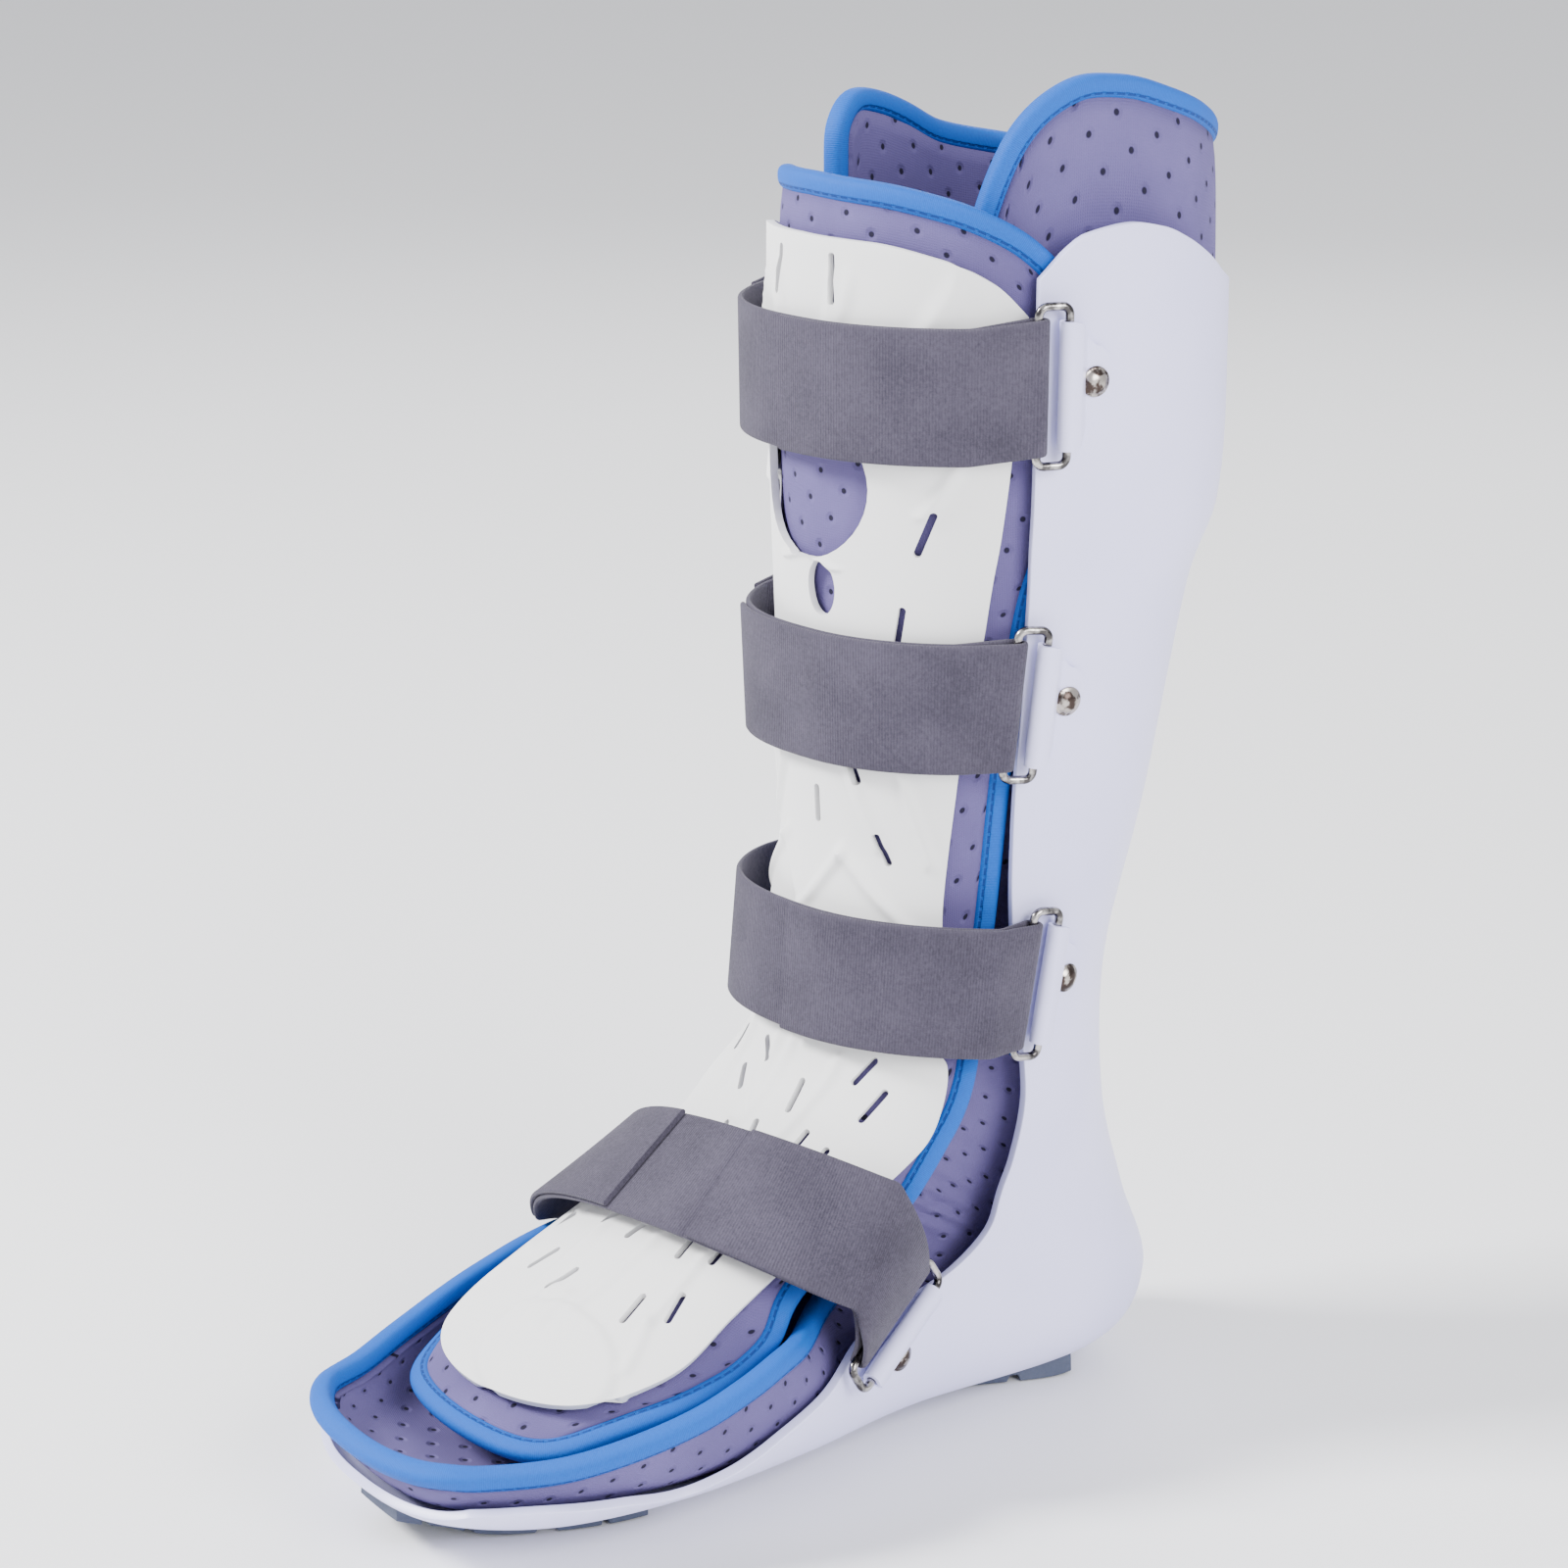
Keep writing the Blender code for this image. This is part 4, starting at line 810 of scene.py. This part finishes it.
class Anchor:
    """A strap's ring at one side, lying over the shell. The bar runs along the stations and forward
    runs round the cradle to the front. The turn leans both, and the bar lies level with the shell.
    """

    def __init__(self, station, angle, turn, side):
        self.station, self.angle = station, side * angle
        self.foot = cradle.at(station, self.angle, SHELL_LIFT)
        self.normal = cradle.normal(station, self.angle)
        along, across = cradle.speed(station, self.angle)
        along = unit(along - self.normal * np.dot(along, self.normal))
        ahead = unit(np.cross(along, self.normal))
        ahead = ahead * np.sign(np.dot(ahead, across) * side)
        turn = math.radians(turn)
        self.bar = along * math.cos(turn) - ahead * math.sin(turn)
        self.forward = ahead * math.cos(turn) + along * math.sin(turn)
        half = STRAP_WIDTH / 2 + RING_CORNER
        ends, _ = self.land(np.array([-half, half]), 0.0)
        self.bar = unit(self.bar + self.normal * np.dot(ends[1] - ends[0], self.normal) / (2 * half))
        self.normal = unit(self.normal - self.bar * np.dot(self.normal, self.bar))
        back = -RING_DEPTH / 2 - TAB_REACH * TAB_UNDER
        stood = self.height(np.linspace(-half, half, 5)[:, None], np.linspace(back, RING_DEPTH / 2, 4)).max()
        self.rise = stood + RING_RISE
        self.centre = self.foot + self.normal * self.rise

    def land(self, u, v):
        """The places on the shell under points u along the bar and v ahead, seen along the normal, by
        Newton's steps on station and angle, and the shell's normals there."""
        u, v = np.broadcast_arrays(np.asarray(u, float), np.asarray(v, float))
        points = self.foot + u[..., None] * self.bar + v[..., None] * self.forward
        station, angle = self.station + 0 * u, self.angle + 0 * u
        axes = np.array([self.bar, self.forward])
        for _ in range(6):
            away = (points - cradle.at(station, angle, SHELL_LIFT)) @ axes.T
            rates = np.stack([speed @ axes.T for speed in cradle.speed(station, angle)], -1)
            step = np.linalg.solve(rates, away[..., None])[..., 0]
            station, angle = station + step[..., 0], angle + step[..., 1]
        return cradle.at(station, angle, SHELL_LIFT), cradle.normal(station, angle)

    def height(self, u, v):
        """How far the shell stands above the ring's foot, along the normal."""
        places, _ = self.land(u, v)
        return (places - self.foot) @ self.normal

    def place(self, u, v, h):
        """The point u along the bar, v ahead and h above the foot."""
        u, v, h = np.broadcast_arrays(u, v, h)
        return self.foot + u[..., None] * self.bar + v[..., None] * self.forward + h[..., None] * self.normal


def tube(name, path, radius, sides=16):
    """A wire along a closed path: a circle in the plane across the path at each of its points."""
    ahead = unit(np.roll(path, -1, axis=0) - np.roll(path, 1, axis=0))
    plane = unit(np.cross(path[1] - path[0], path[len(path) // 2] - path[0]))
    inward = unit(np.cross(ahead, plane))
    turn = np.linspace(0, 2 * np.pi, sides, endpoint=False)
    points = (path[:, None] + inward[:, None] * radius * np.cos(turn)[:, None]
              + plane * radius * np.sin(turn)[:, None])
    return surface(name, points, wrap=(True, True), turn=True)


def ring_path(anchor):
    """A rectangle with round corners in the ring's plane: straight bars and quarter circles."""
    half_bar = STRAP_WIDTH / 2 + RING_SLACK + RING_CORNER
    half_depth = RING_DEPTH / 2
    corner = np.linspace(0, np.pi / 2, 9)
    u, v = [], []
    for quarter, (su, sv) in enumerate(((1, 1), (-1, 1), (-1, -1), (1, -1))):
        angle = corner + quarter * np.pi / 2
        u.append(su * (half_bar - RING_CORNER) + RING_CORNER * np.cos(angle))
        v.append(sv * (half_depth - RING_CORNER) + RING_CORNER * np.sin(angle))
    return anchor.place(np.concatenate(u), np.concatenate(v), anchor.rise)


anchors = {}
for name, *_, ring_station, ring_angle, turn, _, _, _, _ in STRAPS:
    for side_name, side in (("near", 1), ("far", -1)):
        anchor = Anchor(ring_station, ring_angle, turn, side)
        anchors[name, side_name] = anchor
        ring = tube(f"ring_wire_{name}_{side_name}", ring_path(anchor), RING_WIRE / 2)
        dress(ring, steel, "polished_steel", f"ring_{name}_{side_name}")

# Straps. Four bands of grey brushed loop webbing. Each runs over the plates from ring to ring, turns
# round each ring's front bar and is pressed back onto itself, so that its outer layer ends in a
# cut edge.

STRAP_GREY = (0.060, 0.053, 0.078)
STRAP_LIGHT = (0.082, 0.073, 0.106)
STRAP_DARK = (0.034, 0.030, 0.046)

loop_strap, shader, spot, flat = finish("loop_strap", STRAP_GREY, 0.95, sheen_weight=0.08,
                                         specular_ior_level=0.2)
parts = flat.node("ShaderNodeSeparateXYZ", None, {"Vector": flat})
run, across = Wire(parts.tree, parts.socket), Wire(parts.tree, parts.socket.node.outputs[1])
pile = spot.noise(2300.0, 3.0, 0.7)
tuft = spot.noise(900.0, 2.0, 0.6)
cloud = spot.noise(45.0, 3.0)
rows = run.math("SINE", run * (2 * math.pi / 0.0009))
selvage = (across.math("ABSOLUTE", across) * 1.0).step(0.90, 0.97)
tone = (0.4 * pile + 0.3 * tuft + 0.3 * cloud + 0.03 * rows).step(0.3, 0.7).blend((*STRAP_DARK, 1), (*STRAP_LIGHT, 1))
feed(shader, base_color=(selvage * 0.5).blend(tone, (*STRAP_GREY, 1)), roughness=0.88 + 0.1 * pile,
     normal=(0.4 * pile + 0.4 * tuft + 0.15 * rows - 0.25 * selvage).bump(0.0005, 0.8))


def band_section(count):
    """A flat band's closed section, as shares of its half width and half thickness: both faces level,
    and edges rounded by a quarter circle over the last part of the width."""
    across = np.linspace(-1, 1, count)
    across = across * (2 - np.abs(across))
    thick = np.sqrt(np.clip(1 - (np.clip((np.abs(across) - 0.955) / 0.045, 0, None)) ** 2, 0, None))
    w = np.concatenate([across, across[-2:0:-1]])
    return w, np.concatenate([thick, -thick[-2:0:-1]])


def even_line(values, run, count):
    """Values over a run of distances, read again at evenly spaced ones."""
    places = np.linspace(run[0], run[-1], count)
    return np.stack([np.interp(places, run, column) for column in values.T], -1)


def ease(values, width):
    """An open line smoothed by a Gaussian of some points' width, with its ends kept."""
    reach = int(3 * width) + 1
    kernel = np.exp(-0.5 * (np.arange(-reach, reach + 1) / width) ** 2)
    kernel /= kernel.sum()
    head = 2 * values[:1] - values[reach:0:-1]
    tail = 2 * values[-1:] - values[-2:-reach - 2:-1]
    longer = np.concatenate([head, values, tail])
    return np.stack([np.convolve(column, kernel, "valid") for column in longer.T], -1)


def strap_route(entry):
    """A strap's middle line, its directions across the width and out of its outer face. The far fold,
    the base over the plates and the near fold follow each other in one open line."""
    name, far_row, crest_row, near_row, _, _, _, leave, bow, fold_far, fold_near = entry
    near, far = anchors[name, "near"], anchors[name, "far"]

    def middle(angle):
        share = angle / 60
        return (crest_row + share * (near_row - far_row) / 2
                + share * share * ((near_row + far_row) / 2 - crest_row))

    angles = np.linspace(leave, -leave, 121)
    plates = lid.bulge(middle(angles), angles, STRAP_WIDTH / 2, lap_lift)
    slack = (0.0 if leave > 75 else STRAP_SLACK) * ramp(-angles, -8, 38)
    centre = lid.at(middle(angles), angles, plates + slack + STRAP_GAP * 0.7 + STRAP_THICKNESS / 2)
    normal = lid.normal(middle(angles), angles)
    tangent = unit(np.gradient(centre, axis=0))
    width = unit(np.cross(normal, tangent))
    width = width * np.sign(np.dot(width[0], near.bar))
    loop = RING_WIRE / 2 + CLEAR + STRAP_THICKNESS / 2
    share = np.linspace(0, 1, 26)[1:-1, None]

    def span(anchor, at_lid):
        end = anchor.centre + anchor.forward * RING_DEPTH / 2 - anchor.normal * loop
        mid = centre[at_lid] * (1 - share) + end * share
        wide = unit(width[at_lid] * (1 - share) + anchor.bar * share)
        norm = unit(normal[at_lid] * (1 - share) + anchor.normal * share)
        return mid + norm * bow * 4 * share * (1 - share), wide, norm

    def fold(anchor):
        turn = np.linspace(0, np.pi, 17)[:, None]
        out = -anchor.normal * np.cos(turn) - anchor.forward * np.sin(turn)
        bar = anchor.centre + anchor.forward * RING_DEPTH / 2
        return bar + out * loop, np.repeat(anchor.bar[None], 17, 0), out

    def back(anchor, at_lid, keep):
        mid, wide, norm = span(anchor, at_lid)
        over = STRAP_THICKNESS + 0.5 * CLEAR
        raised = mid + norm * (over * (1 - share) + 2 * loop * share)
        layer = centre[keep] + normal[keep] * over
        return (np.concatenate([layer, raised]), np.concatenate([width[keep], wide]),
                np.concatenate([normal[keep], norm]))

    def reverse(piece):
        return tuple(part[::-1] for part in piece)

    def inner(piece):
        return piece[0], piece[1], -piece[2]

    near_back = back(near, 0, np.where(angles >= fold_near)[0][::-1])
    far_back = reverse(back(far, -1, np.where(angles <= fold_far)[0]))
    pieces = (near_back, reverse(fold(near)), inner(reverse(span(near, 0))), (centre, width, -normal),
              inner(span(far, -1)), fold(far), far_back)
    mid, wide, out = (np.concatenate([piece[k] for piece in pieces]) for k in range(3))
    run = np.concatenate([[0], np.cumsum(np.linalg.norm(np.diff(mid, axis=0), axis=1))])
    count = int(run[-1] / 0.0009)
    mid, wide, out = (even_line(part, run, count) for part in (mid, wide, out))
    mid = ease(mid, 1.2)
    return mid, unit(ease(wide, 4.0)), unit(ease(out, 1.6)), run[-1]


w, thick = band_section(37)
for entry in STRAPS:
    mid, wide, out, long = strap_route(entry)
    out = unit(out - wide * (out * wide).sum(-1, keepdims=True))
    points = (mid[:, None] + wide[:, None] * (w * STRAP_WIDTH / 2)[:, None]
              + out[:, None] * (thick * STRAP_THICKNESS / 2)[:, None])
    run = np.linspace(0, long, len(mid))
    flat = np.stack(np.broadcast_arrays(run[:, None], np.append(w, w[0])[None, :]), -1)
    strap = surface(f"{entry[0]}_strap_webbing", points, flat, wrap=(False, True), caps=True)
    dress(strap, loop_strap, "loop_strap", f"{entry[0]}_strap")

# Tabs. A strip of the shell's white plastic is folded round each ring's rear bar and riveted to the
# shell through both layers. It narrows to a round end behind the rivet.

TAB_WIDTH = 0.038
TAB_THICKNESS = 0.0013
TAB_GAP = 0.0004
TAB_END = 1.64
TAB_SHARE_AT_RIVET = 0.56


def tab_width(distance):
    """The tab's half width at a distance behind the bar: full, then a straight taper to the rivet,
    then a round end by the square root of 1 less the square."""
    share = distance / TAB_REACH
    taper = 1 - (1 - TAB_SHARE_AT_RIVET) * ramp(share, 0.15, 1.1)
    end = np.sqrt(np.clip(1 - np.clip((share - 1.0) / (TAB_END - 1.0), 0, 1) ** 2, 0.0, None))
    return TAB_WIDTH / 2 * taper * end


def tab_middle(anchor):
    """The tab's middle surface in rows: under the bar, round it by 200 degrees, then down to the shell
    and along it. A row on the shell lies on the places under it, lifted along the shell's normals."""
    loop = RING_WIRE / 2 + CLEAR + TAB_THICKNESS / 2
    bar_v = -RING_DEPTH / 2
    turn = np.radians(np.linspace(0, 200, 25))[:, None]
    across = np.sin(np.linspace(-np.pi / 2, np.pi / 2, 27))[None, :]
    round_bar = anchor.place(across * TAB_WIDTH / 2, bar_v + loop * np.sin(turn),
                             anchor.rise - loop * np.cos(turn))

    def rows(distance, level, low):
        u = across * np.maximum(tab_width(distance), 0.0005)[:, None]
        v = bar_v - distance[:, None] + 0 * u
        places, normals = anchor.land(u, v)
        seated = places + normals * (TAB_GAP + TAB_THICKNESS / 2)
        return seated * low[:, None, None] + anchor.place(u, v, level) * (1 - low[:, None, None])

    under = np.linspace(TAB_UNDER, 0.02, 8) * TAB_REACH
    behind = np.linspace(0.30, TAB_END, 44) * TAB_REACH
    below = rows(under, anchor.rise - loop, 1 - ramp(under, TAB_UNDER * TAB_REACH, 0.0))
    level = anchor.rise - loop * math.cos(math.radians(200))
    return np.concatenate([below, round_bar, rows(behind, level, ramp(behind, 0.22 * TAB_REACH, 0.72 * TAB_REACH))])


def both_faces(middle, thickness):
    """A closed band round a middle surface: its first face lies half a thickness out along the normals,
    its second face half a thickness in, and the two meet at the edges."""
    out = unit(np.cross(np.gradient(middle, axis=1), np.gradient(middle, axis=0)))
    edge = np.linspace(-1, 1, middle.shape[1])
    full = np.sqrt(1 - np.clip((np.abs(edge) - 0.92) / 0.08, 0, 1) ** 2)[:, None] * thickness / 2
    return np.concatenate([middle + out * full, (middle - out * full)[:, -2:0:-1]], axis=1)


for (name, side_name), anchor in anchors.items():
    points = both_faces(tab_middle(anchor), TAB_THICKNESS)
    tab = surface(f"tab_fold_{name}_{side_name}", points, wrap=(False, True), caps=True)
    dress(tab, shell_plastic, "shell_plastic", f"tab_{name}_{side_name}")

# Rivets. A nickel-plated rivet with a low domed head, its rim rolled onto the tab.

RIVET_RADIUS = 0.0045
RIVET_HEIGHT = 0.0024
RIVET_PROFILE = np.array([
    # share of the radius, share of the height
    (1.00, 0.00), (1.02, 0.10), (1.00, 0.22), (0.93, 0.30), (0.86, 0.34), (0.80, 0.44), (0.70, 0.62),
    (0.56, 0.80), (0.38, 0.93), (0.18, 0.99), (0.02, 1.00),
])

rivet_steel, shader, spot, _ = finish("rivet_steel", (0.50, 0.46, 0.43), 0.22, 1.0)
# Near-black patches in the rivet's colour are painted reflections, placed at random; the same noise also varies the
# roughness and bump.
smudge_and_painted_reflection = spot.noise(300.0, 3.0)
feed(shader, roughness=0.16 + 0.22 * smudge_and_painted_reflection, normal=smudge_and_painted_reflection.bump(0.0002, 0.4),
     base_color=smudge_and_painted_reflection.step(0.44, 0.58).blend((0.055, 0.04, 0.035, 1), (0.44, 0.40, 0.37, 1)))

for (name, side_name), anchor in anchors.items():
    place, normal = anchor.land(0.0, -RING_DEPTH / 2 - TAB_REACH)
    forward = unit(np.cross(normal, np.cross(anchor.forward, normal)))
    middle = place + normal * (TAB_GAP + TAB_THICKNESS)
    turn = np.linspace(0, 2 * np.pi, 40, endpoint=False)
    spokes = np.cos(turn)[:, None] * np.cross(forward, normal) + np.sin(turn)[:, None] * forward
    points = (middle + RIVET_RADIUS * RIVET_PROFILE[:, 0, None, None] * spokes
              + RIVET_HEIGHT * RIVET_PROFILE[:, 1, None, None] * normal)
    rivet = surface(f"rivet_head_{name}_{side_name}", points, wrap=(False, True), caps=True)
    dress(rivet, rivet_steel, "rivet_steel", f"rivet_{name}_{side_name}")

# Treads. Two dark slate rubber pads bonded under the shell, one at the heel and one under the
# forefoot, each cut across by shallow grooves.

HEEL_BLOCKS = ((9.12, 9.38), (9.44, 9.70), (9.76, 9.90))
HEEL_ANGLES = (31, 13)
FOREFOOT_BLOCKS = ((12.05, 12.33), (12.39, 12.68), (12.84, 13.28), (13.36, 13.64), (13.73, 14.00))
FOREFOOT_ANGLES = (29, 13)
GROOVE_DEPTH = 0.0022
TREAD_FILL = 0.003

tread_rubber, shader, spot, _ = finish("tread_rubber", (0.05, 0.062, 0.105), 0.75)
speck = spot.noise(700.0, 3.0, 0.6)
worn = spot.noise(45.0, 3.0).step(0.4, 0.7)
feed(shader, base_color=(0.6 * speck + 0.4 * worn).blend((0.035, 0.045, 0.08, 1), (0.09, 0.105, 0.155, 1)),
     roughness=0.66 + 0.2 * speck, normal=speck.bump(0.0003, 0.6))


def tread(name, blocks, half_angles, node):
    """A pad as a closed band of rows along the foot, narrower towards its front end. Its top follows the shell, and its underside
    lies a depth below that or flat on the ground, and rises in each groove."""
    stations, grooves = [], []
    for i, (start, end) in enumerate(blocks):
        if i:
            gap = start - blocks[i - 1][1]
            stations += [blocks[i - 1][1] + gap * 0.2, start - gap * 0.2]
            grooves += [1.0, 1.0]
        stations += list(np.linspace(start, end, 6))
        grooves += [0.0] * 6
    station = np.array(stations)[:, None]
    toward = ramp(station, stations[0], stations[-1])
    half = half_angles[0] + (half_angles[1] - half_angles[0]) * toward
    angle = half * np.linspace(-1, 1, 31)[None, :]
    upper = cradle.at(station, angle, SHELL_LIFT + 0.3 * SKIN_GAP)
    lower = cradle.at(station, angle, SHELL_LIFT + SKIN_GAP)
    hang = lower[..., 2] - TREAD_DEPTH
    lower[..., 2] = hang * ramp(hang, 0.5 * TREAD_FILL, 1.6 * TREAD_FILL)
    lower[..., 2] += GROOVE_DEPTH * np.array(grooves)[:, None]
    points = np.concatenate([upper, lower[:, ::-1]], axis=1)
    pad = surface(name, points, wrap=(False, True), caps=True, turn=True)
    bevel = pad.modifiers.new("Edges", "BEVEL")
    bevel.width = 0.0004
    bevel.segments = 2
    bevel.limit_method = "ANGLE"
    bevel.angle_limit = math.radians(40)
    return dress(pad, tread_rubber, "tread_rubber", node)


tread("heel_tread_pad", HEEL_BLOCKS, HEEL_ANGLES, "heel_tread")
tread("forefoot_tread_pad", FOREFOOT_BLOCKS, FOREFOOT_ANGLES, "forefoot_tread")

# Studio. A pale floor and sky, a large soft light from the front left, a weaker one from the right
# and a rim light behind, and a long lens at the photograph's angle.

CAMERA_AZIMUTH = math.radians(56.2)
CAMERA_PITCH = math.radians(16.6)
CAMERA_DISTANCE = 1.180
CAMERA_TARGET = np.array([0.0, -0.0608, 0.2083])
CAMERA_LENS = 90.0

floor_points = np.stack(np.meshgrid(np.linspace(-6, 6, 3), np.linspace(-6, 6, 3)) + [np.full((3, 3), -0.0005)], -1)
floor = surface("studio_floor", floor_points)
floor_paint, shader, spot, _ = finish("floor_paint", (0.86, 0.86, 0.87), 0.6)
feed(shader, roughness=0.55 + 0.1 * spot.noise(3.0))
floor.data.materials.append(floor_paint)


def soft_light(name, place, size, power, colour=(1.0, 1.0, 1.0)):
    """A square lamp that faces the brace."""
    lamp = bpy.data.lights.new(name, "AREA")
    lamp.energy, lamp.size, lamp.color = power, size, colour
    obj = bpy.data.objects.new(name, lamp)
    toward = CAMERA_TARGET - np.array(place)
    obj.location = place
    obj.rotation_euler = (math.acos(-toward[2] / np.linalg.norm(toward)), 0.0,
                          math.atan2(toward[1], toward[0]) - math.pi / 2)
    bpy.context.scene.collection.objects.link(obj)


soft_light("key_light", (-0.9, -1.6, 1.6), 0.6, 120.0)
soft_light("side_light", (1.9, 0.1, 1.1), 1.2, 60.0)
soft_light("back_light", (-1.2, 1.2, 1.3), 1.2, 14.0)

world = bpy.data.worlds.new("studio_air")
world.use_nodes = True
world.node_tree.nodes["Background"].inputs["Color"].default_value = (0.95, 0.96, 1.0, 1.0)
world.node_tree.nodes["Background"].inputs["Strength"].default_value = 1.05
bpy.context.scene.world = world

lens = bpy.data.cameras.new("photo_camera")
lens.lens = CAMERA_LENS
camera = bpy.data.objects.new("photo_camera", lens)
looking = np.array([-math.sin(CAMERA_AZIMUTH) * math.cos(CAMERA_PITCH),
                    math.cos(CAMERA_AZIMUTH) * math.cos(CAMERA_PITCH), -math.sin(CAMERA_PITCH)])
camera.location = CAMERA_TARGET - looking * CAMERA_DISTANCE
camera.rotation_euler = (math.pi / 2 - CAMERA_PITCH, 0.0, CAMERA_AZIMUTH)
bpy.context.scene.collection.objects.link(camera)
bpy.context.scene.camera = camera
